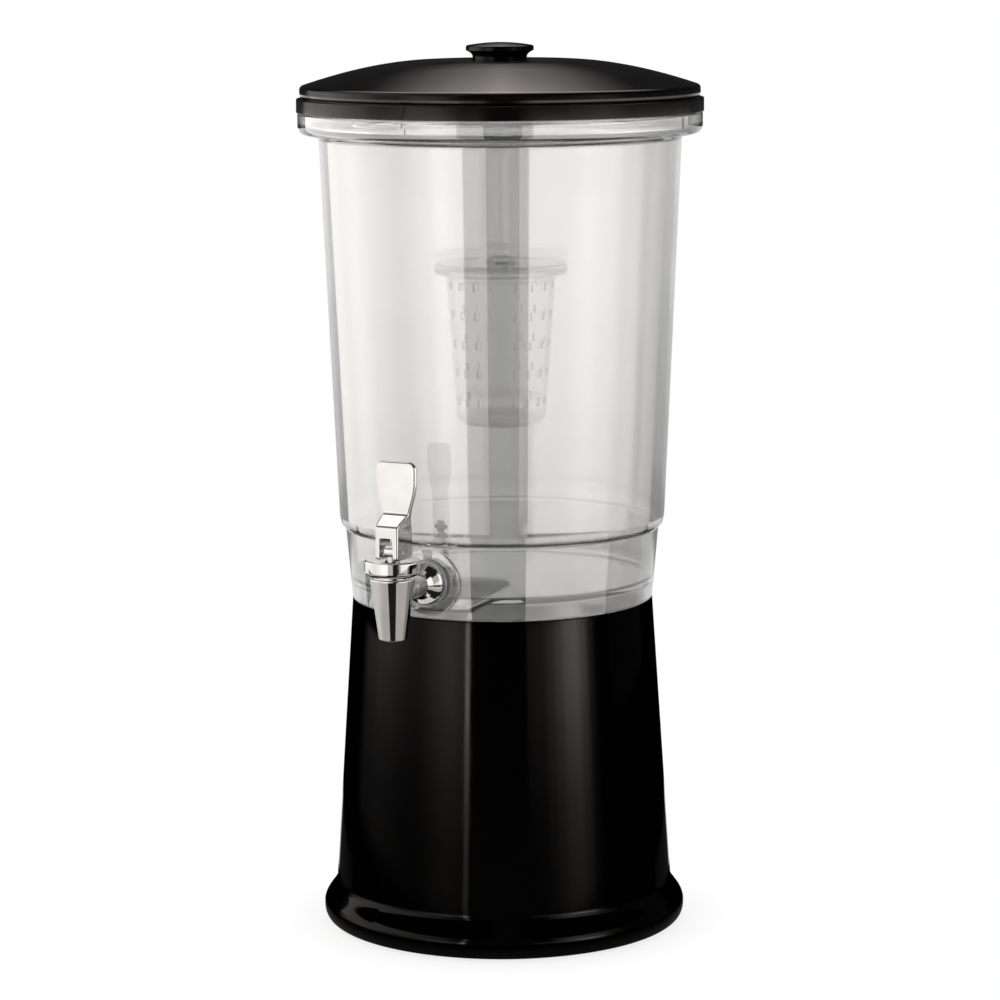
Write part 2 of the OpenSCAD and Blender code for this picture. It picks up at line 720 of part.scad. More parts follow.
module bonnet_gasket() color([0.85, 0.85, 0.84]) at_spout()
    ring(tap_neck_r, chamber_r, tap_neck_z, gasket_t);

module stem_seal() color([0.06, 0.06, 0.06]) at_spout()
    translate([0, 0, bonnet_under_z - o_ring_r])
        rotate_extrude() translate([stem_r + stem_clear + o_ring_r, 0]) circle(o_ring_r);

module spring_washer() color([0.75, 0.75, 0.74]) at_spout()
    ring(spring_washer_r, stem_r + stem_clear, washer_under_z, spring_washer_t);

// Return spring: one wire swept along a helix between the stem's collar and the spring washer

spring_h = washer_under_z - spring_z0 - wire_d;
spring_sides = 6;
spring_rings = ceil(spring_turns * 10);
spring_gap = spring_h / spring_turns - wire_d;
echo(spring_least_gap = spring_gap);

function spring_at(i) =
    let (a = 360 * spring_turns * i / spring_rings)
    [spring_r * cos(a), spring_r * sin(a), spring_z0 + wire_d / 2 + spring_h * i / spring_rings];
function spring_ring(i) =
    let (a = 360 * spring_turns * i / spring_rings, c = spring_at(i))
    [for (k = [0 : spring_sides - 1]) let (b = 360 * k / spring_sides)
        c + wire_d / 2 * [cos(b) * cos(a), cos(b) * sin(a), sin(b)]];

module return_spring() color([0.72, 0.72, 0.73]) at_spout() {
    m = spring_sides;
    last = spring_rings * m;
    polyhedron(
        points = [for (i = [0 : spring_rings]) each spring_ring(i)],
        faces = concat(
            [for (k = [1 : m - 2]) [0, k, k + 1]],
            [for (i = [0 : spring_rings - 1], k = [0 : m - 1], t = [0, 1])
                let (a = i * m + k, b = i * m + (k + 1) % m)
                t == 0 ? [a, a + m, b] : [b, a + m, b + m]],
            [for (k = [1 : m - 2]) [last, last + k + 1, last + k]]
        )
    );
}

// Soft washers on both sides of the container's wall, and the nut that clamps them
module wall_washer(y) color([0.9, 0.91, 0.92, 0.7]) along_tap(0)
    ring(washer_r, shank_r + shank_clear, y, washer_t);
module outer_washer() wall_washer(pad_y);
module inner_washer() wall_washer(nut_y);

module lock_nut() color([0.8, 0.8, 0.8]) along_tap(nut_y - nut_h) difference() {
    rotate([0, 0, 30]) cylinder(d = nut_corner_d, h = nut_h, $fn = 6);
    translate([0, 0, -over]) cylinder(r = shank_r + thread_clear, h = nut_h + 2 * over);
}

// Valve

module valve_stem() color([0.74, 0.74, 0.74]) at_spout() difference() {
    union() {
        translate([0, 0, plug_top_z]) cylinder(r = stem_collar_r, h = stem_collar_h);
        translate([0, 0, plug_top_z - stem_sunk])
            cylinder(r = stem_r, h = pivot_z - plug_top_z + stem_sunk);
        translate([-eye_w / 2, 0, pivot_z]) rotate([0, 90, 0]) cylinder(r = eye_r, h = eye_w);
    }
    translate([-eye_w / 2 - over, 0, pivot_z]) rotate([0, 90, 0])
        cylinder(r = pin_r + pin_clear, h = eye_w + 2 * over);
}

module valve_plug() color([0.82, 0.82, 0.81]) at_spout() difference() {
    rotate_extrude() polygon([
        [0, seat_z - nose_h], [outlet_r / 2, seat_z - nose_h], [outlet_r - nose_clear, seat_z],
        [plug_r, seat_z], [plug_r, plug_top_z], [0, plug_top_z]
    ]);
    translate([0, 0, plug_top_z - stem_sunk]) cylinder(r = stem_r, h = stem_sunk + over);
}

// Lever: its side outline and its front outline, cut from one block

module lever_side() {
    face = -paddle_back;
    back = face - paddle_t;
    polygon(concat(
        [[-heel + 2 * soft_edge, -lever_foot_drop]],
        [for (i = [0 : 8]) cam_point(lever_tilt * i / 8)],
        [[toe_out - edge, foot_face_h - soft_edge], [toe_out - edge - soft_edge, foot_face_h]],
        [for (i = [1 : 6]) let (t = i / 6) [
            toe_out - edge - soft_edge - (toe_out - edge - soft_edge - face) * sin(90 * t),
            foot_face_h + neck_rise * (1 - cos(90 * t))
        ]],
        [[face - soft_edge, paddle_h - soft_edge], [face - 2 * soft_edge, paddle_h]],
        [[back, paddle_h], [back - soft_edge, paddle_h - soft_edge]],
        [[back, foot_face_h + neck_rise + paddle_t], [-heel, foot_face_h - neck_rise / 2]],
        [[-heel, -lever_foot_drop + 2 * soft_edge]]
    ));
}

// Half width of the lever's blade at share t of the height in which it widens
function blade_w(t) = foot_w / 2 + (paddle_w - foot_w) / 2 * t * t * (3 - 2 * t);

module lever_front() {
    w = paddle_w / 2;
    half = concat(
        [[foot_w / 2, -lever_foot_drop - over]],
        [for (i = [0 : 8]) [blade_w(i / 8), blade_start + (blade_full - blade_start) * i / 8]],
        arc([w - paddle_corner, paddle_h - paddle_corner], paddle_corner, 0, 90)
    );
    polygon(concat(half, [for (i = [len(half) - 1 : -1 : 0]) [-half[i][0], half[i][1]]]));
}

module tap_lever() color([0.8, 0.79, 0.77]) at_spout() translate([0, 0, pivot_z]) difference() {
    intersection() {
        translate([paddle_w, 0, 0]) rotate([90, 0, -90]) linear_extrude(2 * paddle_w) lever_side();
        translate([0, paddle_h, 0]) rotate([90, 0, 0]) linear_extrude(2 * paddle_h) lever_front();
    }
    translate([-fork_w / 2, -paddle_h, -paddle_h])
        cube([fork_w, paddle_h + eye_r + fork_back, paddle_h + fork_rise]);
    translate([-foot_w, 0, 0]) rotate([0, 90, 0]) cylinder(r = pin_r, h = 2 * foot_w);
}

module lever_pin() color([0.7, 0.7, 0.7]) at_spout()
    translate([-foot_w / 2, 0, pivot_z]) rotate([0, 90, 0]) cylinder(r = pin_r, h = foot_w);

stand();
foot_ring();
container();
lid_seal();
lid();
knob();
knob_insert();
hanging_rod();
infuser_cap();
infuser_basket();
tap_body();
tap_bonnet();
bonnet_gasket();
stem_seal();
spring_washer();
return_spring();
outer_washer();
inner_washer();
lock_nut();
valve_stem();
valve_plug();
tap_lever();
lever_pin();
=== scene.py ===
# %% [markdown]
# # A cold drink dispenser
# A clear tapered container stands on a glossy black stand. A black domed lid carries a slotted
# fruit infuser inside, and a chrome lever tap sits at the front. The measured solids come from the
# frame. This lesson dresses them: most pieces are turned shapes, so most of the work is drawing a
# good outline with soft corners and giving each plastic, metal and rubber its own finish.

# %% Load the frame
import math

import bmesh
import bpy
from mathutils import Matrix, Vector


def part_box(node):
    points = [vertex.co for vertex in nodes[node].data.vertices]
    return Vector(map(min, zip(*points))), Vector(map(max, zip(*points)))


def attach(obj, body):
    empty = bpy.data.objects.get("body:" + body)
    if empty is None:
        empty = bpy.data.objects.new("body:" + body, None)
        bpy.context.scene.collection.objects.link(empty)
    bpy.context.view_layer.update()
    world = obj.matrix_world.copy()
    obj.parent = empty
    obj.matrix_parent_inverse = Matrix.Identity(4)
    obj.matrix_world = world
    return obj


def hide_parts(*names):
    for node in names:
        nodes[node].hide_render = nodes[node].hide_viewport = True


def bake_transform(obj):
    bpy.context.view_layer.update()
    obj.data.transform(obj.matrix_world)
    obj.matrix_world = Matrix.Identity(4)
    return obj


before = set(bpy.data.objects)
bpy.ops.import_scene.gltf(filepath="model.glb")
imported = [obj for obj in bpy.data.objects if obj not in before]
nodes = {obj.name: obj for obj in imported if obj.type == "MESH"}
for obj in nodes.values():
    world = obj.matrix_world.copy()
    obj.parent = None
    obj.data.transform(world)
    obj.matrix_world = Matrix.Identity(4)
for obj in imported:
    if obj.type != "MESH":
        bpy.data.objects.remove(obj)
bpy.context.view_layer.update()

# %% [markdown]
# ## The camera
# The photograph is taken with a long lens from a little above the lid, with the tap turned to the
# left. A constraint could keep a camera aimed at the object, but plain numbers can also hold the
# small roll and shift of a real picture: how far away, how high, how much to the side and how much
# it looks down.

# %% Camera
VIEW_SIDE = math.radians(27.6)
VIEW_DOWN = math.radians(9.0)
VIEW_ROLL = math.radians(-0.3)
VIEW_SHIFT = -0.0021
VIEW_AWAY = 2.42
VIEW_HIGH = 0.679
LENS_MM, SENSOR_MM = 126.8, 36.0

camera = bpy.data.objects.new("camera", bpy.data.cameras.new("camera"))
bpy.context.scene.collection.objects.link(camera)
camera.data.lens = LENS_MM
camera.data.sensor_width = SENSOR_MM
camera.data.shift_x = VIEW_SHIFT
camera.location = (VIEW_AWAY * math.sin(VIEW_SIDE), -VIEW_AWAY * math.cos(VIEW_SIDE), VIEW_HIGH)
aim = Matrix.Rotation(VIEW_SIDE, 4, "Z") @ Matrix.Rotation(math.pi / 2 - VIEW_DOWN, 4, "X")
aim = aim @ Matrix.Rotation(VIEW_ROLL, 4, "Z")
camera.rotation_euler = aim.to_euler()
bpy.context.scene.camera = camera
print("camera at", [round(v, 3) for v in camera.location])

# %% [markdown]
# ## Turned outlines
# A lathe needs one outline. A drawn corner is never quite sharp on a moulded or plated piece, so
# each corner of an outline is written as radius, height and fillet, all in millimetres, and the
# helper below swaps the corner for a small arc. The outline is then swept round the axis into
# rings of points, which gives clean four-sided faces that catch long, unbroken reflections.

# %% Outline helper
MM = 0.001
ARC_STEPS, ARC_REACH = 6, 0.49
STRAIGHT = math.radians(89)


def fillet(before, corner, after, radius):
    """The points of an arc that rounds one corner of an outline."""
    a, c, b = Vector(before[:2]), Vector(corner[:2]), Vector(after[:2])
    to_a, to_b = (a - c), (b - c)
    reach = min(to_a.length, to_b.length) * ARC_REACH
    to_a.normalize()
    to_b.normalize()
    half = to_a.angle(to_b) / 2
    if half > STRAIGHT or radius <= 0:
        return [(c.x, c.y)]
    back = min(radius / math.tan(half), reach)
    size = back * math.tan(half)
    centre = c + (to_a + to_b).normalized() * (size / math.sin(half))
    start, end = c + to_a * back - centre, c + to_b * back - centre
    turn = start.angle_signed(end)
    points = []
    for i in range(ARC_STEPS + 1):
        spoke = Matrix.Rotation(-turn * i / ARC_STEPS, 2) @ start
        points.append((centre.x + spoke.x, centre.y + spoke.y))
    return points


def outline(corners, closed=False):
    """Corners of (radius, height[, fillet]) in millimetres become a smooth list of points."""
    points = []
    count = len(corners)
    for i, corner in enumerate(corners):
        ends = not closed and i in (0, count - 1)
        radius = corner[2] if len(corner) > 2 and not ends else 0
        points += fillet(corners[i - 1], corner, corners[(i + 1) % count], radius)
    return points


print("outline helper: an arc has", ARC_STEPS, "steps")

# %% Mesh helpers
UPRIGHT = Matrix.Identity(4)
SAME_POINT, ON_AXIS = 1e-5, 1e-6
SHARP_TURN, SHARP_CUT = 40, 35


def finish_mesh(name, bm):
    """A bmesh in millimetres becomes an object in metres with smooth faces and true hard edges."""
    bmesh.ops.remove_doubles(bm, verts=bm.verts, dist=SAME_POINT)
    bmesh.ops.recalc_face_normals(bm, faces=bm.faces)
    for face in bm.faces:
        face.smooth = True
    mesh = bpy.data.meshes.new(name)
    bm.to_mesh(mesh)
    bm.free()
    mesh.transform(Matrix.Scale(MM, 4))
    mesh.set_sharp_from_angle(angle=math.radians(SHARP_TURN))
    piece = bpy.data.objects.new(name, mesh)
    bpy.context.scene.collection.objects.link(piece)
    return piece


def turn_rings(bm, points, angles, place):
    """Rings of points round the axis: one ring per outline point, or one point on the axis."""
    rings = []
    for r, z in points:
        ring = [(0, 0, z)]
        if r > ON_AXIS:
            ring = [(r * math.cos(a), r * math.sin(a), z) for a in angles]
        rings.append([bm.verts.new(place @ Vector(point)) for point in ring])
    return rings


def span(bm, low, high, i, j):
    """The face between two rings, from place i to place j."""
    corners = [low[i % len(low)], low[j % len(low)], high[j % len(high)], high[i % len(high)]]
    unique = list(dict.fromkeys(corners))
    return bm.faces.new(unique) if len(unique) > 2 else None


def turned(name, corners, closed=False, segments=160, place=UPRIGHT):
    """A lathe piece from an outline: closed makes a ring, open starts and ends on the axis."""
    points = outline(corners, closed)
    bm = bmesh.new()
    angles = [math.tau * k / segments for k in range(segments)]
    rings = turn_rings(bm, points, angles, place)
    pairs = list(zip(rings, rings[1:])) + ([(rings[-1], rings[0])] if closed else [])
    for low, high in pairs:
        for i in range(segments):
            span(bm, low, high, i, i + 1)
    return finish_mesh(name, bm)


def prism(name, base, rise, place=UPRIGHT):
    """A straight block: a flat list of points (x, y), raised by rise along its own z."""
    bm = bmesh.new()
    low = [bm.verts.new(place @ Vector((x, y, 0))) for x, y in base]
    high = [bm.verts.new(place @ Vector((x, y, rise))) for x, y in base]
    bm.faces.new(low[::-1])
    bm.faces.new(high)
    for i in range(len(base)):
        span(bm, low, high, i, i + 1)
    return finish_mesh(name, bm)


def round_block(radius, low, high, segments=64, place=UPRIGHT):
    """A plain round block along its own z, used to drill and to trim."""
    corners = [(0, low), (radius, low), (radius, high), (0, high)]
    return turned("round_block", corners, segments=segments, place=place)


def arc_block(name, inner, outer, low, high, centre_deg, span_deg, steps=8):
    """A block that follows the rim, such as a locking lug."""
    bm = bmesh.new()
    start = math.radians(centre_deg - span_deg / 2)
    angles = [start + math.radians(span_deg) * k / steps for k in range(steps + 1)]
    rings = turn_rings(bm, [(inner, low), (outer, low), (outer, high), (inner, high)], angles, UPRIGHT)
    for a, b in zip(rings, rings[1:] + rings[:1]):
        for i in range(steps):
            span(bm, a, b, i, i + 1)
    for end in (0, steps):
        bm.faces.new([ring[end] for ring in rings])
    return finish_mesh(name, bm)


print("mesh helpers: turned, prism, round_block, arc_block")

# %% [markdown]
# ### Cutting, joining and dressing
# A hole through a solid wall could be left out face by face, but a boolean is easier to get right:
# the cutter is a shape of its own, it is used up, and the hole comes out with closed walls. Blocks
# that only stand against the inside of a black moulding are gathered into its mesh without one.
# Dressing a piece gives it its finish and its body, and hides the solid that it stands for.

# %% Cutting, joining and dressing


def settle(piece):
    """Bakes a piece's modifiers into its mesh."""
    bpy.context.view_layer.update()
    graph = bpy.context.evaluated_depsgraph_get()
    mesh = bpy.data.meshes.new_from_object(piece.evaluated_get(graph))
    piece.modifiers.clear()
    piece.data = mesh


def shape(piece, other, how="DIFFERENCE"):
    """Cuts, joins or trims a piece with another, which is used up."""
    change = piece.modifiers.new("shape", "BOOLEAN")
    change.object = other
    change.operation = how
    change.solver = "EXACT"
    settle(piece)
    bpy.data.objects.remove(other)
    for face in piece.data.polygons:
        face.use_smooth = True
    piece.data.set_sharp_from_angle(angle=math.radians(SHARP_CUT))


def gather(name, parts):
    """Several separate meshes become one object."""
    bm = bmesh.new()
    for part in parts:
        bm.from_mesh(part.data)
        bpy.data.objects.remove(part)
    bmesh.ops.scale(bm, vec=(1 / MM,) * 3, verts=bm.verts)
    return finish_mesh(name, bm)


def dress(piece, material, body, slot, *replaced):
    """Gives a piece its finish, hangs it on its body and hides the solids that it stands for."""
    piece.data.materials.clear()
    piece.data.materials.append(material)
    even = piece.modifiers.new("even_normals", "WEIGHTED_NORMAL")
    even.keep_sharp = True
    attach(piece, body)
    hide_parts(*replaced)
    low, high = [min(c) for c in zip(*piece.bound_box)], [max(c) for c in zip(*piece.bound_box)]
    size = [round((b - a) / MM, 1) for a, b in zip(low, high)]
    print(piece.name, "mm:", size, "faces:", len(piece.data.polygons))
    return piece


print("piece helpers: settle, shape, gather, dress")

# %% [markdown]
# ## Finishes
# Each finish is one Principled shader. Values that are the same all over sit on the shader's own
# sockets. What varies over the surface, such as faint haze in the gloss, fine scuffs or the ripple
# of a moulded face, could be painted on an unwrapped mesh. Noise in object space needs no
# unwrapping and stays put from every side, so that is the way chosen here.

# %% Shader helpers
NOISE_LOW, NOISE_HIGH = 0.3, 0.7
TINT_LOW, TINT_HIGH = 0.35, 0.65
BROAD, MIDDLE, FINE, FINEST = 2.0, 4.0, 5.0, 6.0


def new_finish(name):
    """An empty material with its Principled shader, ready for sockets."""
    material = bpy.data.materials.new(name)
    material.use_nodes = True
    return material, material.node_tree, material.node_tree.nodes["Principled BSDF"]


def noise_in(tree, scale, detail=MIDDLE, stretch=(1, 1, 1)):
    """Noise in object space, stretched along an axis if asked."""
    place = tree.nodes.new("ShaderNodeTexCoord")
    frame_map = tree.nodes.new("ShaderNodeMapping")
    frame_map.inputs["Scale"].default_value = stretch
    noise = tree.nodes.new("ShaderNodeTexNoise")
    noise.inputs["Scale"].default_value = scale
    noise.inputs["Detail"].default_value = detail
    tree.links.new(place.outputs["Object"], frame_map.inputs["Vector"])
    tree.links.new(frame_map.outputs["Vector"], noise.inputs["Vector"])
    return noise.outputs["Fac"]


def vary(tree, source, socket, low, high):
    """Drives a shader socket between two values."""
    ramp = tree.nodes.new("ShaderNodeMapRange")
    ramp.inputs["From Min"].default_value = NOISE_LOW
    ramp.inputs["From Max"].default_value = NOISE_HIGH
    ramp.inputs["To Min"].default_value = low
    ramp.inputs["To Max"].default_value = high
    tree.links.new(source, ramp.inputs["Value"])
    tree.links.new(ramp.outputs["Result"], socket)


def tint(tree, source, socket, low, high):
    """Drives a shader colour between two colours."""
    ramp = tree.nodes.new("ShaderNodeValToRGB")
    ramp.color_ramp.elements[0].position = TINT_LOW
    ramp.color_ramp.elements[1].position = TINT_HIGH
    ramp.color_ramp.elements[0].color = (*low, 1)
    ramp.color_ramp.elements[1].color = (*high, 1)
    tree.links.new(source, ramp.inputs["Fac"])
    tree.links.new(ramp.outputs["Color"], socket)


def ripple(tree, source, shader, strength, depth):
    """A shallow bump from a noise."""
    bump = tree.nodes.new("ShaderNodeBump")
    bump.inputs["Strength"].default_value = strength
    bump.inputs["Distance"].default_value = depth
    tree.links.new(source, bump.inputs["Height"])
    tree.links.new(bump.outputs["Normal"], shader.inputs["Normal"])


print("shader helpers: new_finish, noise_in, vary, tint, ripple")

# %% [markdown]
# ### Black mouldings
# The stand is polished: its dark face mirrors the lamps with crisp edges. The lid is the same
# plastic from a satin mould, so its highlight spreads into a broad soft patch. Both blacks lean a
# little to warm brown, which shows only where light lies on them. Two shaders could be set up by
# hand, but one recipe with the gloss as a value keeps the two mouldings alike in all the rest.

# %% Black plastics
PLASTIC_IOR = 1.5
WARM_SHINE = (1.0, 0.93, 0.91)
CLOUD_SCALE, GLOSS_SCALE, WAVE_SCALE = 9.0, 34.0, 22.0
RIPPLE_DEPTH = 0.0003


def black_plastic(name, gloss_low, gloss_high, shine, dark, warm):
    """A dark moulding with cloud in its colour, haze in its gloss and a faint ripple in its face."""
    material, tree, shader = new_finish(name)
    tint(tree, noise_in(tree, CLOUD_SCALE), shader.inputs["Base Color"], dark, warm)
    vary(tree, noise_in(tree, GLOSS_SCALE, FINEST), shader.inputs["Roughness"], gloss_low, gloss_high)
    ripple(tree, noise_in(tree, WAVE_SCALE, BROAD), shader, 0.05, RIPPLE_DEPTH)
    shader.inputs["IOR"].default_value = PLASTIC_IOR
    shader.inputs["Specular IOR Level"].default_value = shine
    shader.inputs["Specular Tint"].default_value = (*WARM_SHINE, 1)
    return material


STAND_BLACK = black_plastic(
    "stand_gloss_black", 0.06, 0.11, 0.4, (0.0010, 0.0009, 0.0009), (0.002, 0.0017, 0.0017))
LID_BLACK = black_plastic(
    "lid_satin_black", 0.12, 0.17, 0.5, (0.0025, 0.0021, 0.002), (0.004, 0.0034, 0.0033))
print("black plastics:", STAND_BLACK.name, LID_BLACK.name)

# %% [markdown]
# ### Clear plastic
# A glass-like shader with the index of a clear moulding bends light at every wall, so the collar,
# the step and the floor draw their own lines. A container of this kind is never as clear as window
# glass: a light grey cast and a trace of haze make its wall show against a white room. Its clear
# coat is denser than the plastic itself, because a thin shine would be lost against so much white.
# The infuser has no coat. The cut walls of its slots are frosted and carry a painted shade, which
# makes a slot in clear plastic readable, and its rounded bottom carries part of that painted shade.
# Each face's number, frost_and_painted_shade, says how much, and the basket's finish follows it.

# %% Clear plastics
COAT_IOR, COAT_ROUGH = 2.2, 0.02
HAZE_LOW, HAZE_HIGH = 0.01, 0.03
HAZE_SCALE, CLEAR_WAVE_SCALE = 14.0, 12.0
# The second tone is a painted shade for the slot walls and the rounded bottom of the basket.
CLEAR_TONE, SLOT_SHADE_TONE = (0.97, 0.97, 0.97), (0.66, 0.66, 0.65)
CLEAR_SHARE, FROST_SHARE = 0.97, 0.5


def clear_plastic(name, colour, clearness, coat):
    """A see-through moulding with a trace of haze, a faint ripple and a clear coat if asked."""
    material, tree, shader = new_finish(name)
    shader.inputs["Base Color"].default_value = (*colour, 1)
    shader.inputs["Transmission Weight"].default_value = clearness
    shader.inputs["IOR"].default_value = PLASTIC_IOR
    shader.inputs["Coat Weight"].default_value = coat
    shader.inputs["Coat IOR"].default_value = COAT_IOR
    shader.inputs["Coat Roughness"].default_value = COAT_ROUGH
    vary(tree, noise_in(tree, HAZE_SCALE, FINE), shader.inputs["Roughness"], HAZE_LOW, HAZE_HIGH)
    ripple(tree, noise_in(tree, CLEAR_WAVE_SCALE, BROAD), shader, 0.04, RIPPLE_DEPTH)
    return material


CONTAINER_CLEAR = clear_plastic("container_clear", (0.77, 0.77, 0.765), 0.92, 1.0)
INFUSER_CLEAR = clear_plastic("infuser_clear", CLEAR_TONE, CLEAR_SHARE, 0.0)
BASKET_CLEAR = clear_plastic("basket_clear", CLEAR_TONE, CLEAR_SHARE, 0.0)
print("clear plastics:", CONTAINER_CLEAR.name, INFUSER_CLEAR.name, BASKET_CLEAR.name)

# %% Frosted slots with painted shade in the basket's finish
tree = BASKET_CLEAR.node_tree
shader = tree.nodes["Principled BSDF"]
frost_and_painted_shade = tree.nodes.new("ShaderNodeAttribute")
frost_and_painted_shade.attribute_name = "frost_and_painted_shade"
# Painted shade: the higher a face's number, the darker its tone and the less light it lets through.
tint(tree, frost_and_painted_shade.outputs["Fac"], shader.inputs["Base Color"], CLEAR_TONE, SLOT_SHADE_TONE)
vary(tree, frost_and_painted_shade.outputs["Fac"], shader.inputs["Transmission Weight"], CLEAR_SHARE, FROST_SHARE)
print("clearness of the basket's wall and of a slot:", CLEAR_SHARE, FROST_SHARE)

# %% [markdown]
# ### Metals, rubber and silicone
# Chrome plate is a mirror with a trace of wipe marks, and it sends back a little more than half of
# the light. The small steel pieces are turned, so their noise is stretched round the axis into fine
# rings. Silicone lets a little light through and looks bluish white, and the foot ring is plain
# matte rubber. One helper each for metals and soft finishes keeps the recipes side by side.

# %% Metals
WIPED, TURNED_RINGS = (1, 1, 1), (1, 1, 12)
MARK_DEPTH = 0.0001


def metal(name, low, high, rough_low, rough_high, scale, stretch, bump):
    """A metal whose marks show in its colour, its gloss and its face alike."""
    material, tree, shader = new_finish(name)
    marks = noise_in(tree, scale, FINEST, stretch)
    shader.inputs["Metallic"].default_value = 1.0
    tint(tree, marks, shader.inputs["Base Color"], low, high)
    vary(tree, marks, shader.inputs["Roughness"], rough_low, rough_high)
    ripple(tree, marks, shader, bump, MARK_DEPTH)
    return material


CHROME = metal(
    "polished_chrome", (0.53, 0.52, 0.505), (0.57, 0.56, 0.545), 0.03, 0.07, 60.0, WIPED, 0.02)
STEEL = metal(
    "turned_steel", (0.50, 0.50, 0.50), (0.62, 0.62, 0.61), 0.22, 0.38, 90.0, TURNED_RINGS, 0.15)
BRASS = metal(
    "turned_brass", (0.60, 0.43, 0.17), (0.74, 0.56, 0.26), 0.2, 0.35, 90.0, TURNED_RINGS, 0.15)
print("metals:", CHROME.name, STEEL.name, BRASS.name)

# %% Rubber, silicone and nut plastic
SOFT_IOR, GRAIN_ROUGH, GRAIN_DEPTH = 1.42, 0.12, 0.0002


def soft_finish(name, low, high, rough, scale, bump, see_through=0.0):
    """A matte finish with a fine grain, which may let some light through."""
    material, tree, shader = new_finish(name)
    grain = noise_in(tree, scale, FINE)
    tint(tree, grain, shader.inputs["Base Color"], low, high)
    vary(tree, grain, shader.inputs["Roughness"], rough, rough + GRAIN_ROUGH)
    ripple(tree, grain, shader, bump, GRAIN_DEPTH)
    shader.inputs["Transmission Weight"].default_value = see_through
    shader.inputs["IOR"].default_value = SOFT_IOR
    return material


RUBBER = soft_finish("foot_rubber", (0.022, 0.022, 0.022), (0.034, 0.033, 0.032), 0.6, 160.0, 0.3)
SILICONE = soft_finish("clear_silicone", (0.78, 0.83, 0.88), (0.86, 0.9, 0.93), 0.28, 120.0, 0.1, 0.55)
NUT_WHITE = soft_finish("nut_plastic", (0.72, 0.75, 0.77), (0.8, 0.82, 0.83), 0.35, 90.0, 0.15)
print("soft finishes:", RUBBER.name, SILICONE.name, NUT_WHITE.name)

# %% [markdown]
# ## The stand
# The stand is one hollow moulding: a tall cone that sweeps out into a rounded foot. A cone and a
# rounded ring could be stacked, but their joint would show as a line in the gloss. So one outline
# runs down the outside from the seat that takes the container, along half a cosine wave into the
# foot, and back up the inside from the groove for the rubber ring. Ribs under the deck are plain
# blocks.

# %% Stand
STAND_RIM_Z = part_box("stand")[1].z / MM
DECK_Z = STAND_RIM_Z - 14.0
DECK_T = 3.0
STAND_RIM_R, STAND_FOOT_R, STAND_WALL = 104.3, 117.4, 3.0
STAND_IN_R = STAND_RIM_R - STAND_WALL
BEAD_R, BEAD_TOP_Z, BEAD_BELT_Z, BEAD_TUCK_Z, BEAD_TUCK_R = 126.6, 30.5, 11.5, 9.5, 121.0
SWEEP_STEPS, TUCK_STEPS, TUCK_TURN = 24, 8, 9
FOOT_Z = 1.2
RING_OUT, RING_IN, RING_T = 118.0, 110.0, 3.0
RING_LIP_R, RING_LIP_Z = RING_IN - STAND_WALL, RING_T + STAND_WALL

bead = []
for step in range(SWEEP_STEPS + 1):
    share = (1 - math.cos(math.pi * step / SWEEP_STEPS)) / 2
    height = BEAD_TOP_Z + (BEAD_BELT_Z - BEAD_TOP_Z) * step / SWEEP_STEPS
    bead.append((STAND_FOOT_R + (BEAD_R - STAND_FOOT_R) * share, height))
for step in range(TUCK_STEPS + 1):
    angle = math.radians(TUCK_TURN * step)
    height = BEAD_TUCK_Z - (BEAD_TUCK_Z - FOOT_Z) * math.sin(angle)
    bead.append((BEAD_R - (BEAD_R - BEAD_TUCK_R) * (1 - math.cos(angle)), height))
stand = turned("stand_shell", [
    (0, DECK_Z), (STAND_IN_R, DECK_Z, 1.2), (STAND_IN_R, STAND_RIM_Z, 0.8),
    (STAND_RIM_R, STAND_RIM_Z, 0.9), *bead, (BEAD_TUCK_R, FOOT_Z, 0.8),
    (RING_OUT, FOOT_Z, 0.2), (RING_OUT, RING_T, 0.2), (RING_IN, RING_T, 0.2), (RING_IN, FOOT_Z, 0.2),
    (RING_LIP_R, FOOT_Z, 0.5), (RING_LIP_R, RING_LIP_Z, 0.5), (STAND_FOOT_R, RING_LIP_Z, 1.0),
    (STAND_FOOT_R - STAND_WALL, BEAD_TOP_Z + 2, 4.0), (STAND_IN_R + 0.9, DECK_Z - DECK_T, 1.5),
    (0, DECK_Z - DECK_T),
], segments=224)
print("stand shell:", len(stand.data.polygons), "faces")

# %% Ribs and foot ring
RIB_COUNT, RIB_T, RIB_H, RIB_START, RIB_SINK = 6, 2.5, 18.0, 8.0, 0.5
rib_side = [
    (RIB_START, -RIB_T / 2), (STAND_IN_R, -RIB_T / 2), (STAND_IN_R, RIB_T / 2), (RIB_START, RIB_T / 2),
]
ribs = []
for k in range(RIB_COUNT):
    turn = Matrix.Rotation(math.tau * (k + 0.5) / RIB_COUNT, 4, "Z")
    sit = turn @ Matrix.Translation((0, 0, DECK_Z - DECK_T - RIB_H))
    ribs.append(prism("rib", rib_side, RIB_H + RIB_SINK, sit))
stand = gather("stand_shell", [stand, *ribs])
dress(stand, STAND_BLACK, "stand_group", "black_plastic", "stand")

foot = turned("foot_pad_ring", [
    (RING_IN, 0, 0.5), (RING_OUT, 0, 0.5), (RING_OUT, RING_T), (RING_IN, RING_T),
], closed=True, segments=160)
dress(foot, RUBBER, "stand_group", "black_rubber", "foot_ring")

# %% [markdown]
# ## The container
# The wall is about three millimetres all the way up: a narrow lower wall, a rounded step, a long
# taper, a cove and a wide collar, then a neck that goes inside the lid. All of it is one outline
# from the underside of the floor, up the outside and down the inside. The tap pad, the drain
# channel, the locking lugs and the stop ribs break the round shape, so they are joined or cut as
# solids afterwards; clear plastic shows every inner face, so nothing may simply overlap.

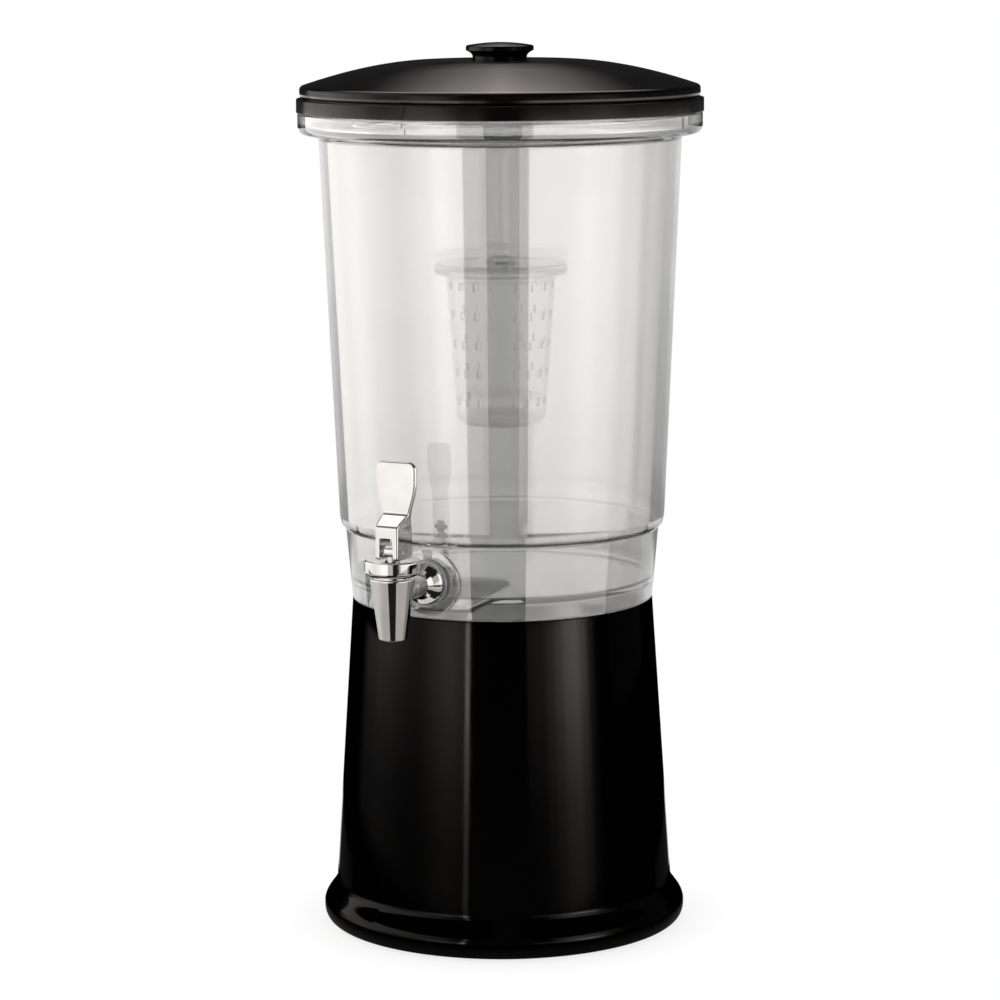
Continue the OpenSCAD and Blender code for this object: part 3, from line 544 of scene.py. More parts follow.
# %% Container wall
FLOOR_Z, FLOOR_T, FLOOR_EDGE_R = 244.0, 3.0, 102.6
SPIGOT_R, SPIGOT_Z = 100.8, 220.0
LOWER_TOP_R, STEP_Z, BODY_LOW_R, BODY_TOP_R = 108.7, 279.1, 112.7, 124.4
COLLAR_Z, COLLAR_R, COLLAR_TOP_Z = 550.6, 138.5, 564.6
NECK_R, MOUTH_Z, WALL = 133.9, 575.0, 3.0
SHOULDER_Z = COLLAR_Z + WALL + 2

container = turned("container_wall", [
    (0, FLOOR_Z - FLOOR_T), (SPIGOT_R - WALL, FLOOR_Z - FLOOR_T, 1.0), (SPIGOT_R - WALL, SPIGOT_Z, 0.6),
    (SPIGOT_R, SPIGOT_Z, 0.6), (SPIGOT_R, STAND_RIM_Z, 0.4), (STAND_RIM_R, STAND_RIM_Z, 0.6),
    (LOWER_TOP_R, STEP_Z, 1.2), (BODY_LOW_R - 1.4, STEP_Z + 2.0, 4.0), (BODY_LOW_R, STEP_Z + 8.0, 6.0),
    (BODY_TOP_R, COLLAR_Z - 1.2, 4.0), (COLLAR_R, COLLAR_Z, 5.0), (COLLAR_R, COLLAR_TOP_Z, 0.9),
    (NECK_R, COLLAR_TOP_Z, 0.6), (NECK_R, MOUTH_Z, 1.0), (NECK_R - WALL, MOUTH_Z, 1.0),
    (NECK_R - WALL, SHOULDER_Z, 3.0), (BODY_TOP_R - WALL, COLLAR_Z + 1.6, 4.5),
    (BODY_LOW_R - WALL - 0.2, STEP_Z + 4.6, 2.2), (LOWER_TOP_R - WALL, STEP_Z + 1.2, 2.0),
    (FLOOR_EDGE_R, FLOOR_Z, 3.0), (0, FLOOR_Z),
], segments=224)
print("container wall:", len(container.data.polygons), "faces")

# %% Drain channel
SUMP_DEPTH, SUMP_W, SUMP_SIDE, SUMP_LEN, SUMP_REACH = 7.0, 50.0, 15.0, 66.0, 1.2
DRAIN_LOW_Z, DRAIN_OUT_R, CHANNEL_OUT_R = 225, SPIGOT_R - 1.2, 102.3


def drain_block(grow):
    """The drain channel's cross-section, run on a line that falls from the floor to the tap wall."""
    fall = math.atan(SUMP_DEPTH / SUMP_LEN)
    half, wide, high = SUMP_W / 2 + grow / 2, SUMP_W / 2 + SUMP_SIDE + grow, SUMP_DEPTH + grow
    sit = Matrix.Translation((0, -(FLOOR_EDGE_R - SUMP_LEN), FLOOR_Z - grow))
    sit = sit @ Matrix.Rotation(math.pi / 2 + fall, 4, "X")
    return prism("drain", [(-half, 0), (half, 0), (wide, high), (-wide, high)], SUMP_LEN * SUMP_REACH, sit)


under = drain_block(FLOOR_T)
shape(under, round_block(DRAIN_OUT_R, DRAIN_LOW_Z, FLOOR_Z - 1, 224), "INTERSECT")
shape(container, under, "UNION")
channel = drain_block(0)
shape(channel, round_block(CHANNEL_OUT_R, DRAIN_LOW_Z, FLOOR_Z + 2, 224), "INTERSECT")
shape(container, channel)
print("drain channel:", SUMP_LEN, "mm long")

# %% Tap pad
TAP_Z = 255.5
PAD_Y, PAD_R, PAD_T = 108.42, 23.0, 4.5
SPOT_R, SPOT_DEPTH, SHANK_HOLE_R = 16.6, 8.0, 8.6
HOLE_BACK, HOLE_LEN = 7, 10


def on_tap_axis(distance):
    """A place on the tap's inlet axis, with its own z pointing out to the front."""
    return Matrix.Translation((0, -distance, TAP_Z)) @ Matrix.Rotation(math.pi / 2, 4, "X")


pad_place, spot_place = on_tap_axis(PAD_Y - PAD_T), on_tap_axis(PAD_Y - PAD_T - SPOT_DEPTH)
pad = turned("pad", [(0, 0), (PAD_R, 0), (PAD_R, PAD_T, 0.8), (0, PAD_T)], place=pad_place)
shape(container, pad, "UNION")
spot = turned("spot", [(0, 0), (SPOT_R, 0), (SPOT_R, SPOT_DEPTH, 0.6), (0, SPOT_DEPTH)], place=spot_place)
shape(container, spot)
shape(container, round_block(SHANK_HOLE_R, 0, HOLE_LEN, 96, on_tap_axis(PAD_Y - HOLE_BACK)))
print("tap pad:", 2 * PAD_R, "mm across")

# %% Locking lugs and stop ribs
LUG_COUNT, LUG_START, LUG_SPAN, LUG_H, LUG_R, LOCK_TURN = 4, 45, 13.0, 2.4, 136.4, 27.0
QUARTER = 90
LID_LUG_Z = COLLAR_TOP_Z + 0.9
NECK_LUG_Z = LID_LUG_Z + LUG_H + 0.5
MARK_COUNT, MARK_START = 4, -90
MARK_W, MARK_H, MARK_OUT, MARK_SINK, MARK_RISE = 5.0, 7.4, 0.7, 0.6, 5
extras = []
for k in range(LUG_COUNT):
    centre = LUG_START + QUARTER * k
    extras.append(arc_block("lug", NECK_R - 0.5, LUG_R, NECK_LUG_Z, NECK_LUG_Z + LUG_H, centre, LUG_SPAN))
mark_steps = [
    (-MARK_W / 2, 0), (MARK_W / 2, 0), (MARK_W / 2, MARK_H / 2), (0, MARK_H / 2), (0, MARK_H),
    (-MARK_W / 2, MARK_H),
]
for k in range(MARK_COUNT):
    turn = Matrix.Rotation(math.radians(MARK_START + QUARTER * k), 4, "Z")
    sit = turn @ Matrix.Translation((COLLAR_R - MARK_SINK, 0, COLLAR_Z + MARK_RISE))
    sit = sit @ Matrix.Rotation(math.pi / 2, 4, "Y") @ Matrix.Rotation(math.pi / 2, 4, "Z")
    extras.append(prism("stop_rib", mark_steps, MARK_SINK + MARK_OUT, sit))
for extra in extras:
    shape(container, extra, "UNION")
dress(container, CONTAINER_CLEAR, "container_group", "clear_plastic", "container")

# %% [markdown]
# ## The lid
# The crown is flat in the middle and bends down to a rounded edge, above a skirt that covers the
# neck. A shallow groove under that edge draws the dark line over the skirt, and the wall behind it
# is thicker, so that the skirt hangs on solid plastic. Inside, the lid has a guide rib, a land for
# the seal and a boss for the hanging rod. The small pointer on the skirt lines up with a stop rib
# on the collar. A squashed sphere would make a quick dome, but a drawn curve can follow the real
# one from the flat middle to the steep edge.

# %% Lid outline
SKIRT_R, SKIRT_IN_R, SKIRT_Z = 139.3, 136.9, 564.9
DOME_R, DOME_Z, DOME_EDGE_Z, CROWN_Z = 137.0, 574.3, 582.5, 600.0
DOME_FLAT_R, DOME_BEND, DOME_ROUND, LID_WALL, LAND_Z = 50.0, 1.7, 3.0, 2.8, 577.6
GUIDE_R, GUIDE_Z = 130.0, 571.0
GROOVE_DEPTH, GROOVE_H, ROOT_R, ROOT_Z = 1.2, 3.4, 134.7, 572.8
STUD_R, LID_BOSS_R, LID_BOSS_Z = 4.05, 12.0, 588.2
SLOPE_STEPS, UNDER_STEPS = 32, 20


def dome(r, drop=0.0):
    """Height of the crown at radius r: level in the middle, then steeper and steeper."""
    share = max(0.0, r - DOME_FLAT_R) / (DOME_R - DOME_FLAT_R)
    return CROWN_Z - (CROWN_Z - DOME_EDGE_Z) * share ** DOME_BEND - drop


flat = [STUD_R, 20.0, 36.0]
slope_run = DOME_R - 1.5 * DOME_ROUND - DOME_FLAT_R
slope = [DOME_FLAT_R + slope_run * k / SLOPE_STEPS for k in range(SLOPE_STEPS + 1)]
crown = [(r, dome(r)) for r in flat + slope]
under_run = GUIDE_R - LID_WALL - DOME_FLAT_R
under_slope = [DOME_FLAT_R + under_run * k / UNDER_STEPS for k in range(UNDER_STEPS, -1, -1)]
under_crown = [(r, dome(r, LID_WALL)) for r in under_slope]
lid = turned("lid_dome", [
    *crown, (DOME_R, DOME_EDGE_Z, DOME_ROUND), (DOME_R, DOME_Z + GROOVE_H, 1.6),
    (DOME_R - GROOVE_DEPTH, DOME_Z, 0.5), (SKIRT_R, DOME_Z, 0.7), (SKIRT_R, SKIRT_Z, 0.5),
    (SKIRT_IN_R, SKIRT_Z, 0.4), (SKIRT_IN_R, ROOT_Z - 1.2, 0.5), (ROOT_R, ROOT_Z, 0.5),
    (ROOT_R, LAND_Z, 0.3), (GUIDE_R, LAND_Z, 0.4), (GUIDE_R, GUIDE_Z, 0.6),
    (GUIDE_R - LID_WALL, GUIDE_Z, 0.6), *under_crown,
    (LID_BOSS_R, dome(LID_BOSS_R, LID_WALL), 1.0), (LID_BOSS_R, LID_BOSS_Z, 0.6), (STUD_R, LID_BOSS_Z, 0.3),
], closed=True, segments=256)
print("lid dome:", len(lid.data.polygons), "faces")

# %% Pointer, lid lugs and seal
POINTER_HALF, POINTER_T, POINTER_SINK = 3.5, 1.2, 0.5
POINTER_H = DOME_Z - SKIRT_Z - 0.6
LID_LUG_IN_R, LID_LUG_OUT_R = 134.4, SKIRT_IN_R + 0.4
SEAL_IN_R, SEAL_R = 130.4, 134.4
pointer_place = Matrix.Translation((0, POINTER_SINK - SKIRT_R, SKIRT_Z))
pointer_place = pointer_place @ Matrix.Rotation(math.pi / 2, 4, "X")
pointer_sides = [(-POINTER_HALF, POINTER_H), (0, 0), (POINTER_HALF, POINTER_H)]
pointer = prism("pointer", pointer_sides, POINTER_T, pointer_place)
lid_lugs = []
for k in range(LUG_COUNT):
    centre, top_z = LUG_START + LOCK_TURN + QUARTER * k, LID_LUG_Z + LUG_H
    lid_lugs.append(arc_block("lid_lug", LID_LUG_IN_R, LID_LUG_OUT_R, LID_LUG_Z, top_z, centre, LUG_SPAN))
lid = gather("lid_dome", [lid, pointer, *lid_lugs])
dress(lid, LID_BLACK, "lid_group", "black_lid_plastic", "lid")

seal = turned("lid_seal_ring", [
    (SEAL_IN_R, MOUTH_Z, 0.8), (SEAL_R, MOUTH_Z, 0.8), (SEAL_R, LAND_Z, 0.8), (SEAL_IN_R, LAND_Z, 0.8),
], closed=True, segments=192)
dress(seal, SILICONE, "seal_ring", "clear_silicone", "lid_seal")

# %% [markdown]
# ### The knob
# A low waisted knob: it stands on the crown, flares out to a rounded rim and closes with a slightly
# raised top. A brass insert inside takes the rod's thread. The knob could be drawn as part of the
# lid's outline, but it is a moulding of its own, and a real seam shows where it stands on the lid.
# Its flare follows a squared curve, which leaves the waist upright and opens under the rim.

# %% Knob
KNOB_TOP_Z, KNOB_CROWN, KNOB_RIM_H, KNOB_R, KNOB_WAIST_R = 611.8, 2.2, 3.2, 23.2, 18.6
INSERT_R, INSERT_H = 6.5, 5.4
RIM_LOW_Z = KNOB_TOP_Z - KNOB_CROWN - KNOB_RIM_H
WAIST_Z = CROWN_Z + (RIM_LOW_Z - CROWN_Z) / 3
FLARE_STEPS, TOP_STEPS = 8, 10
flare = []
for k in range(FLARE_STEPS + 1):
    share = k / FLARE_STEPS
    radius = KNOB_WAIST_R + (KNOB_R - KNOB_WAIST_R) * share ** 2
    flare.append((radius, WAIST_Z + (RIM_LOW_Z - WAIST_Z) * share))
top = []
for k in range(TOP_STEPS - 1, -1, -1):
    top.append((KNOB_R * k / TOP_STEPS, KNOB_TOP_Z - KNOB_CROWN * (k / TOP_STEPS) ** 2))
knob = turned("knob_cap", [
    (0, CROWN_Z + INSERT_H), (INSERT_R, CROWN_Z + INSERT_H, 0.2), (INSERT_R, CROWN_Z, 0.2),
    (KNOB_WAIST_R, CROWN_Z, 0.3), *flare, (KNOB_R, KNOB_TOP_Z - KNOB_CROWN, 1.5), *top,
], segments=128)
dress(knob, LID_BLACK, "lid_group", "black_lid_plastic", "knob")
insert = turned("brass_insert", [
    (STUD_R, CROWN_Z), (INSERT_R, CROWN_Z), (INSERT_R, CROWN_Z + INSERT_H), (STUD_R, CROWN_Z + INSERT_H),
], closed=True, segments=64)
dress(insert, BRASS, "lid_group", "brass", "knob_insert")

# %% [markdown]
# ## The infuser
# A clear rod hangs from the lid and carries a cap; the basket is pushed on the cap from below. Its
# ninety slots could be cut one by one, but so many cuts are slow and leave untidy faces. Instead the
# basket's wall is a grid of rings and columns in which every slot has its own cell. Those cells are
# left out on both skins and walled between them, so each slot is a true hole through the wall.

# %% Hanging rod and cap
ROD_R, ROD_END_R, ROD_COLLAR_Z, CAP_BOSS_Z = 5.0, 4.0, 584.2, 465.9
CAP_TOP_Z, RIM_Z, RIM_R, CAP_BOSS_R = 461.5, 457.7, 46.0, 9.5
STUD_Z, STUD_TOP_Z = RIM_Z + 1.0, CROWN_Z + INSERT_H
rod = turned("hanging_rod_clear", [
    (0, STUD_Z), (ROD_END_R, STUD_Z, 0.4), (ROD_END_R, CAP_BOSS_Z), (ROD_R, CAP_BOSS_Z, 0.5),
    (ROD_R, ROD_COLLAR_Z, 2.0), (LID_BOSS_R, ROD_COLLAR_Z, 0.8), (LID_BOSS_R, LID_BOSS_Z, 0.3),
    (ROD_END_R, LID_BOSS_Z), (ROD_END_R, STUD_TOP_Z), (0, STUD_TOP_Z),
], segments=64)
dress(rod, INFUSER_CLEAR, "lid_group", "clear_plastic", "hanging_rod")

CAP_RING_R, CAP_RING_IN_R, CAP_RING_Z = 35.6, 33.6, RIM_Z - 8
cap = turned("infuser_cap_clear", [
    (0, STUD_Z), (STUD_R, STUD_Z), (STUD_R, CAP_BOSS_Z, 0.2), (CAP_BOSS_R - 0.6, CAP_BOSS_Z, 1.2),
    (CAP_BOSS_R + 0.6, CAP_TOP_Z, 2.6), (RIM_R, CAP_TOP_Z, 1.2), (RIM_R, RIM_Z, 0.5),
    (CAP_RING_R, RIM_Z, 0.4), (CAP_RING_R, CAP_RING_Z, 0.6), (CAP_RING_IN_R, CAP_RING_Z, 0.6),
    (CAP_RING_IN_R, RIM_Z, 0.6), (0, RIM_Z),
], segments=128)
dress(cap, INFUSER_CLEAR, "lid_group", "clear_plastic", "infuser_cap")

# %% Basket outline
BASKET_UNDER_Z, BASKET_Z = 453.9, 349.6
BASKET_TOP_R, BASKET_LOW_R, BASKET_ROUND, BASKET_WALL = 37.9, 31.0, 8.0, 2.0
SLOT_ROWS, SLOT_COUNT, SLOT_W, SLOT_H, SLOT_PITCH, SLOT_DROP = 5, 18, 4.0, 6.0, 20.0, 7.0
BEND_STEPS = 6


def basket_radius(z):
    """Outer radius of the basket's tapered wall at a height."""
    share = (z - BASKET_Z - BASKET_ROUND) / (BASKET_UNDER_Z - BASKET_Z - BASKET_ROUND)
    return BASKET_LOW_R + (BASKET_TOP_R - BASKET_LOW_R) * share


def bottom_bend(size):
    """The rounded corner between the basket's bottom and its wall, from below to the side."""
    middle_r, middle_z = BASKET_LOW_R - BASKET_ROUND, BASKET_Z + BASKET_ROUND
    turns = [math.radians(-90 + 90 * k / BEND_STEPS) for k in range(BEND_STEPS + 1)]
    return [(middle_r + size * math.cos(a), middle_z + size * math.sin(a)) for a in turns]


slot_lines = []
for row in range(SLOT_ROWS):
    middle = BASKET_UNDER_Z - SLOT_DROP - SLOT_PITCH * row
    slot_lines += [middle - SLOT_H / 2, middle + SLOT_H / 2]
slot_lines.sort()
slots_top = slot_lines[-1]
outer_bend, inner_bend = bottom_bend(BASKET_ROUND), bottom_bend(BASKET_ROUND - BASKET_WALL)
outer_wall = [(basket_radius(z), z) for z in slot_lines]
inner_wall = [(basket_radius(z) - BASKET_WALL, z) for z in slot_lines]
rim = outline([
    (basket_radius(slots_top), slots_top), (BASKET_TOP_R, BASKET_UNDER_Z, 1.0),
    (RIM_R, BASKET_UNDER_Z, 2.6), (RIM_R, RIM_Z, 0.5), (BASKET_TOP_R - BASKET_WALL, RIM_Z, 0.5),
    (basket_radius(slots_top) - BASKET_WALL, slots_top),
])[1:-1]
skin = [
    (0, BASKET_Z), *outer_bend, *outer_wall, *rim, *inner_wall[::-1], *inner_bend[::-1],
    (0, BASKET_Z + BASKET_WALL),
]
print("basket outline:", len(skin), "points")

# %% Basket skin with slots
BETWEEN_SLOTS = 5
first_out = 1 + len(outer_bend)
first_in = first_out + len(outer_wall) + len(rim)
last_in = first_in + len(inner_wall) - 1
half_slot = math.asin(SLOT_W / 2 / basket_radius(sum(slot_lines) / len(slot_lines)))
gap = math.tau / SLOT_COUNT - 2 * half_slot
angles = []
for k in range(SLOT_COUNT):
    centre = -math.pi / 2 + math.tau * k / SLOT_COUNT
    between = [centre + half_slot + gap * s / BETWEEN_SLOTS for s in range(BETWEEN_SLOTS)]
    angles += [centre - half_slot, *between]

bm = bmesh.new()
rings = turn_rings(bm, skin, angles, UPRIGHT)
columns = set(range(0, len(angles), BETWEEN_SLOTS + 1))
slot_rows = {first + 2 * row for row in range(SLOT_ROWS) for first in (first_out, first_in)}
for row in range(len(rings) - 1):
    for i in range(len(angles)):
        if i not in columns or row not in slot_rows:
            span(bm, rings[row], rings[row + 1], i, i + 1)
corner_weight = bm.edges.layers.float.new("bevel_weight_edge")
for row in range(SLOT_ROWS):
    low_out, high_out = rings[first_out + 2 * row], rings[first_out + 2 * row + 1]
    low_in, high_in = rings[last_in - 2 * row], rings[last_in - 2 * row - 1]
    for i in columns:
        loop_out = [low_out[i], low_out[i + 1], high_out[i + 1], high_out[i]]
        loop_in = [low_in[i], low_in[i + 1], high_in[i + 1], high_in[i]]
        for a in range(4):
            span(bm, loop_out, loop_in, a, a + 1)
        for a in range(4):
            bm.edges.get([loop_out[a], loop_in[a]])[corner_weight] = 1.0
basket = finish_mesh("infuser_basket_clear", bm)
print("basket slots:", SLOT_ROWS * SLOT_COUNT)

# %% Rounded slots, frosted and with painted shade
SLOT_ROUND, BEND_FROST_AND_SHADE, SKIN_T = 1.2, 0.43, 0.3
soften = basket.modifiers.new("round_slots", "BEVEL")
soften.limit_method = "WEIGHT"
soften.width = SLOT_ROUND * MM
soften.segments = 3
settle(basket)
basket.data.set_sharp_from_angle(angle=math.radians(SHARP_TURN))
frosted_shade_values = basket.data.attributes.new("frost_and_painted_shade", "FLOAT", "FACE")
for face in basket.data.polygons:
    radius, height = math.hypot(face.center.x, face.center.y) / MM, face.center.z / MM
    depth = basket_radius(height) - radius
    # The rounded bottom takes part of the frost and painted shade, and the walls of the slots all of it.
    if height < BASKET_Z + BASKET_ROUND:
        frosted_shade_values.data[face.index].value = BEND_FROST_AND_SHADE
    elif height < slots_top and SKIN_T < depth < BASKET_WALL - SKIN_T:
        frosted_shade_values.data[face.index].value = 1.0
dress(basket, BASKET_CLEAR, "basket", "clear_plastic", "infuser_basket")

# %% [markdown]
# ## The tap
# The spout is a plated casting: a tapered nozzle, an arm that swells where it meets the nozzle, and
# a domed flange against the wall. It could be sculpted, but all of it is turned on two axes, so two
# turned solids are joined and then drilled for the outlet, the valve chamber and the inlet. The
# spout, the bonnet and the lever are left out of mirror rays, because the container's dense coat
# would show them a second time, more strongly than a real wall does.

# %% Tap body
SPOUT_Y = PAD_Y + 47.8
FLANGE_Y = PAD_Y + 2.4
TIP_Z, SHOULDER_TAP_Z, SEAT_Z, TAP_NECK_Z = 224.9, 266.3, 246.2, 274.2
TIP_R, TAP_SHOULDER_R, TAP_NECK_R = 9.3, 15.1, 12.6
ARM_R, FLANGE_R, SHANK_R, INLET_R, OUTLET_R, CHAMBER_R = 7.8, 14.6, 8.2, 4.0, 6.2, 9.2
SHANK_END_Y = PAD_Y - 19.5
DRILL_PAST = 2
at_spout = Matrix.Translation((0, -SPOUT_Y, 0))
out_front = on_tap_axis(0)

tap = turned("tap_casting", [
    (0, TIP_Z), (TIP_R, TIP_Z, 0.9), (TAP_SHOULDER_R, SHOULDER_TAP_Z, 1.4),
    (TAP_NECK_R, SHOULDER_TAP_Z, 0.4), (TAP_NECK_R, TAP_NECK_Z), (0, TAP_NECK_Z),
], segments=128, place=at_spout)
arm = turned("arm", [
    (0, SHANK_END_Y), (SHANK_R, SHANK_END_Y, 0.6), (SHANK_R, FLANGE_Y), (FLANGE_R, FLANGE_Y, 0.6),
    (FLANGE_R, FLANGE_Y + 4.2, 3.0), (ARM_R + 2.4, FLANGE_Y + 8.2, 3.0), (ARM_R, FLANGE_Y + 11, 3.0),
    (ARM_R, SPOUT_Y - 17, 4.0), (ARM_R + 2.6, SPOUT_Y - 11, 1.0), (ARM_R, SPOUT_Y), (0, SPOUT_Y),
], segments=128, place=out_front)
shape(tap, arm, "UNION")
drills = [
    round_block(OUTLET_R, TIP_Z - DRILL_PAST, SEAT_Z + 1, place=at_spout),
    round_block(CHAMBER_R, SEAT_Z, TAP_NECK_Z + DRILL_PAST, place=at_spout),
    round_block(INLET_R, SHANK_END_Y - DRILL_PAST, SPOUT_Y, place=out_front),
]
for drill in drills:
    shape(tap, drill)
dress(tap, CHROME, "container_group", "chrome", "tap_body")
tap.visible_glossy = False

# %% Bonnet
BONNET_Z, BONNET_TOP_Z, BONNET_R, BONNET_TOP_T = 268.1, 278.6, 18.7, 3.0
BONNET_IN_R, BONNET_IN_Z = TAP_NECK_R + 0.1, BONNET_TOP_Z - BONNET_TOP_T
STEM_HOLE_R = 3.6
bonnet = turned("tap_bonnet_cap", [
    (STEM_HOLE_R, BONNET_TOP_Z, 0.4), (STEM_HOLE_R, BONNET_IN_Z), (BONNET_IN_R, BONNET_IN_Z),
    (BONNET_IN_R, BONNET_Z, 0.3), (BONNET_R, BONNET_Z, 4.4), (BONNET_R, BONNET_TOP_Z, 1.6),
], closed=True, segments=128, place=at_spout)
dress(bonnet, CHROME, "container_group", "chrome", "tap_bonnet")
bonnet.visible_glossy = False

# %% [markdown]
# ### Washers, nut and thread
# Two soft washers seal the hole in the wall, and a nut inside holds the tap by its threaded shank.
# The nut is a six-sided block trimmed by a turned one, which gives the curved chamfers of a real
# nut. The thread is a low ridge wound along the shank: a bump in the finish would do for a far view,
# but a wound ridge also shows in the outline and in the mesh itself.

# %% Washers and nut
WASHER_R, WASHER_T = 15.4, 2.4
NUT_Y = PAD_Y - PAD_T - WASHER_T
for name, node, start in (
    ("outer_washer_soft", "outer_washer", PAD_Y), ("inner_washer_soft", "inner_washer", NUT_Y),
):
    end = start + WASHER_T
    washer = turned(name, [
        (SHANK_HOLE_R, start, 0.3), (WASHER_R, start, 0.7), (WASHER_R, end, 0.7), (SHANK_HOLE_R, end, 0.3),
    ], closed=True, segments=96, place=out_front)
    dress(washer, SILICONE, "container_group", "clear_silicone", node)

NUT_CORNER_R, NUT_H, NUT_FACE_R, NUT_TRIM_R, NUT_CHAMFER = 15.0, 8.0, 13.2, 15.4, 1.4
NUT_END_Y = NUT_Y - NUT_H
hexagon = []
for k in range(6):
    corner = math.radians(30 + 60 * k)
    hexagon.append((NUT_CORNER_R * math.cos(corner), NUT_CORNER_R * math.sin(corner)))
nut = prism("lock_nut_hex", hexagon, NUT_H, on_tap_axis(NUT_END_Y))
cone = turned("nut_chamfer", [
    (0, NUT_END_Y), (NUT_FACE_R, NUT_END_Y), (NUT_TRIM_R, NUT_END_Y + NUT_CHAMFER),
    (NUT_TRIM_R, NUT_Y - NUT_CHAMFER), (NUT_FACE_R, NUT_Y), (0, NUT_Y),
], segments=96, place=out_front)
shape(nut, cone, "INTERSECT")
shape(nut, round_block(SHANK_R + 0.1, NUT_END_Y - DRILL_PAST, NUT_Y + DRILL_PAST, place=out_front))
dress(nut, NUT_WHITE, "container_group", "white_plastic", "lock_nut")

# %% Shank thread
THREAD_PITCH, THREAD_STEPS, THREAD_FADE = 1.5, 32, 8
THREAD_ROOT, THREAD_CREST, THREAD_HALF = 0.1, 0.05, 0.55


def thread_ridge(name, radius, start, end, place):
    """A helical ridge with a pointed section, wound round an axis from start to end."""
    bm = bmesh.new()
    run = end - start - THREAD_PITCH
    count = int(run / THREAD_PITCH * THREAD_STEPS)
    rows = []
    for k in range(count + 1):
        angle = math.tau * k / THREAD_STEPS
        along = start + THREAD_PITCH / 2 + run * k / count
        fade = min(1, k / THREAD_FADE, (count - k) / THREAD_FADE)
        root, crest = radius - THREAD_ROOT, radius + THREAD_CREST * fade
        section = [(root, -THREAD_HALF), (crest, 0.0), (root, THREAD_HALF)]
        points = [(r * math.cos(angle), r * math.sin(angle), along + s) for r, s in section]
        rows.append([bm.verts.new(place @ Vector(point)) for point in points])
    for low, high in zip(rows, rows[1:]):
        for i in range(3):
            span(bm, low, high, i, i + 1)
    bm.faces.new(rows[0])
    bm.faces.new(rows[-1][::-1])
    return finish_mesh(name, bm)


thread = thread_ridge("shank_thread", SHANK_R + 0.03, SHANK_END_Y + 0.5, NUT_END_Y, out_front)
thread.data.materials.append(CHROME)
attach(thread, "container_group")
print("shank thread:", len(thread.data.polygons), "faces")

# %% [markdown]
# ### The lever
# The lever is a casting with soft edges: a forked foot that rocks on the bonnet, a curved neck and a
# wide paddle. A bent strip with bevelled edges would be quick, but it keeps one thickness. So the
# lever is lofted from rounded rectangles, one per height, and the foot can grow into the paddle in
# one smooth skin. The toe of the foot follows an involute, so that the stem rises evenly as the lever
# is pulled. The fork and the pin hole are then cut.

# %% Lever sections
PIVOT_Z = 283.2
FOOT_DROP, CAM_RATE, LEVER_TILT, HEEL, TOE_TRIM = 4.45, 5.5, 35.0, 13.0, 0.6
FOOT_W, FOOT_FACE_H, NECK_RISE, NECK_LEAD = 17.0, 18.0, 8.0, 1.5
NECK_BACK_RISE = 2.6 * NECK_RISE
PADDLE_H, PADDLE_W, PADDLE_T, PADDLE_BACK, PADDLE_CORNER = 59.6, 30.0, 4.5, 4.0, 6.0
BLADE_START, BLADE_FULL = 15.0, 46.0
BACK_LEAN, EDGE_ROUND, TOP_PINCH = 0.6, 2.0, 0.9
CORNER_R, BLADE_CORNER, DEPTH_SHARE, WIDTH_SHARE = 1.6, 0.5, 0.98, 0.9
CORNER_STEPS = 6


def cam_point(tilt):
    """The toe's point that rests on the bonnet at a tilt, as (ahead of the pivot, above it)."""
    a = math.radians(tilt)
    reach = FOOT_DROP + CAM_RATE * a
    return reach * math.sin(a) + CAM_RATE * math.cos(a), -reach * math.cos(a) + CAM_RATE * math.sin(a)


TOE_OUT, TOE_TOP = cam_point(LEVER_TILT)
FOOT_FRONT = TOE_OUT - TOE_TRIM


def ease(t):
    """A soft start and a soft end between 0 and 1."""
    t = max(0.0, min(1.0, t))
    return t * t * (3 - 2 * t)


def drawn_in(size, past):
    """How far a rounded edge has drawn in, at a distance past the start of its rounding."""
    return size - math.sqrt(max(size ** 2 - past ** 2, 0))


def lever_section(h):
    """Front, back, half width and corner radius of the lever at height h over the pivot."""
    neck = ease((h - FOOT_FACE_H + NECK_LEAD) / (NECK_RISE + NECK_LEAD))
    face = FOOT_FRONT * (1 - neck) - PADDLE_BACK * neck
    if h < TOE_TOP:
        share = (h + FOOT_DROP) / (TOE_TOP + FOOT_DROP)
        face = CAM_RATE + (FOOT_FRONT - CAM_RATE) * math.sqrt(max(share, 0))
    neck_back = ease((h - FOOT_FACE_H + NECK_RISE) / NECK_BACK_RISE)
    back = -HEEL * (1 - neck_back) - (PADDLE_BACK + PADDLE_T) * neck_back
    if h < EDGE_ROUND - FOOT_DROP:
        back += drawn_in(EDGE_ROUND, EDGE_ROUND - FOOT_DROP - h)
    lean = max(0.0, (h - FOOT_FACE_H) / (PADDLE_H - FOOT_FACE_H))
    face, back = face - lean, back - BACK_LEAN * lean
    blade = ease((h - BLADE_START) / (BLADE_FULL - BLADE_START))
    half = FOOT_W / 2 + (PADDLE_W - FOOT_W) / 2 * blade
    if h > PADDLE_H - PADDLE_CORNER:
        half -= drawn_in(PADDLE_CORNER, h - (PADDLE_H - PADDLE_CORNER))
    if h > PADDLE_H - EDGE_ROUND:
        pinch = TOP_PINCH * drawn_in(EDGE_ROUND, EDGE_ROUND - (PADDLE_H - h))
        face, back = face - pinch, back + pinch
    room = min((face - back) / 2 * DEPTH_SHARE, half * WIDTH_SHARE)
    corner = min(CORNER_R + BLADE_CORNER * blade, room)
    return face, back, half, corner


def section_points(h):
    """The rounded rectangle of one height, in order round the lever."""
    face, back, half, corner = lever_section(h)
    points = []
    for sx, sy, turn in ((1, 1, 0), (-1, 1, 90), (-1, -1, 180), (1, -1, 270)):
        cx, cy = sx * (half - corner), (face if sy > 0 else back) - sy * corner
        for k in range(CORNER_STEPS + 1):
            a = math.radians(turn + 90 * k / CORNER_STEPS)
            points.append((cx + corner * math.cos(a), cy + corner * math.sin(a)))
    return points


print("lever: toe reaches", round(TOE_OUT, 2), "mm ahead of the pivot")

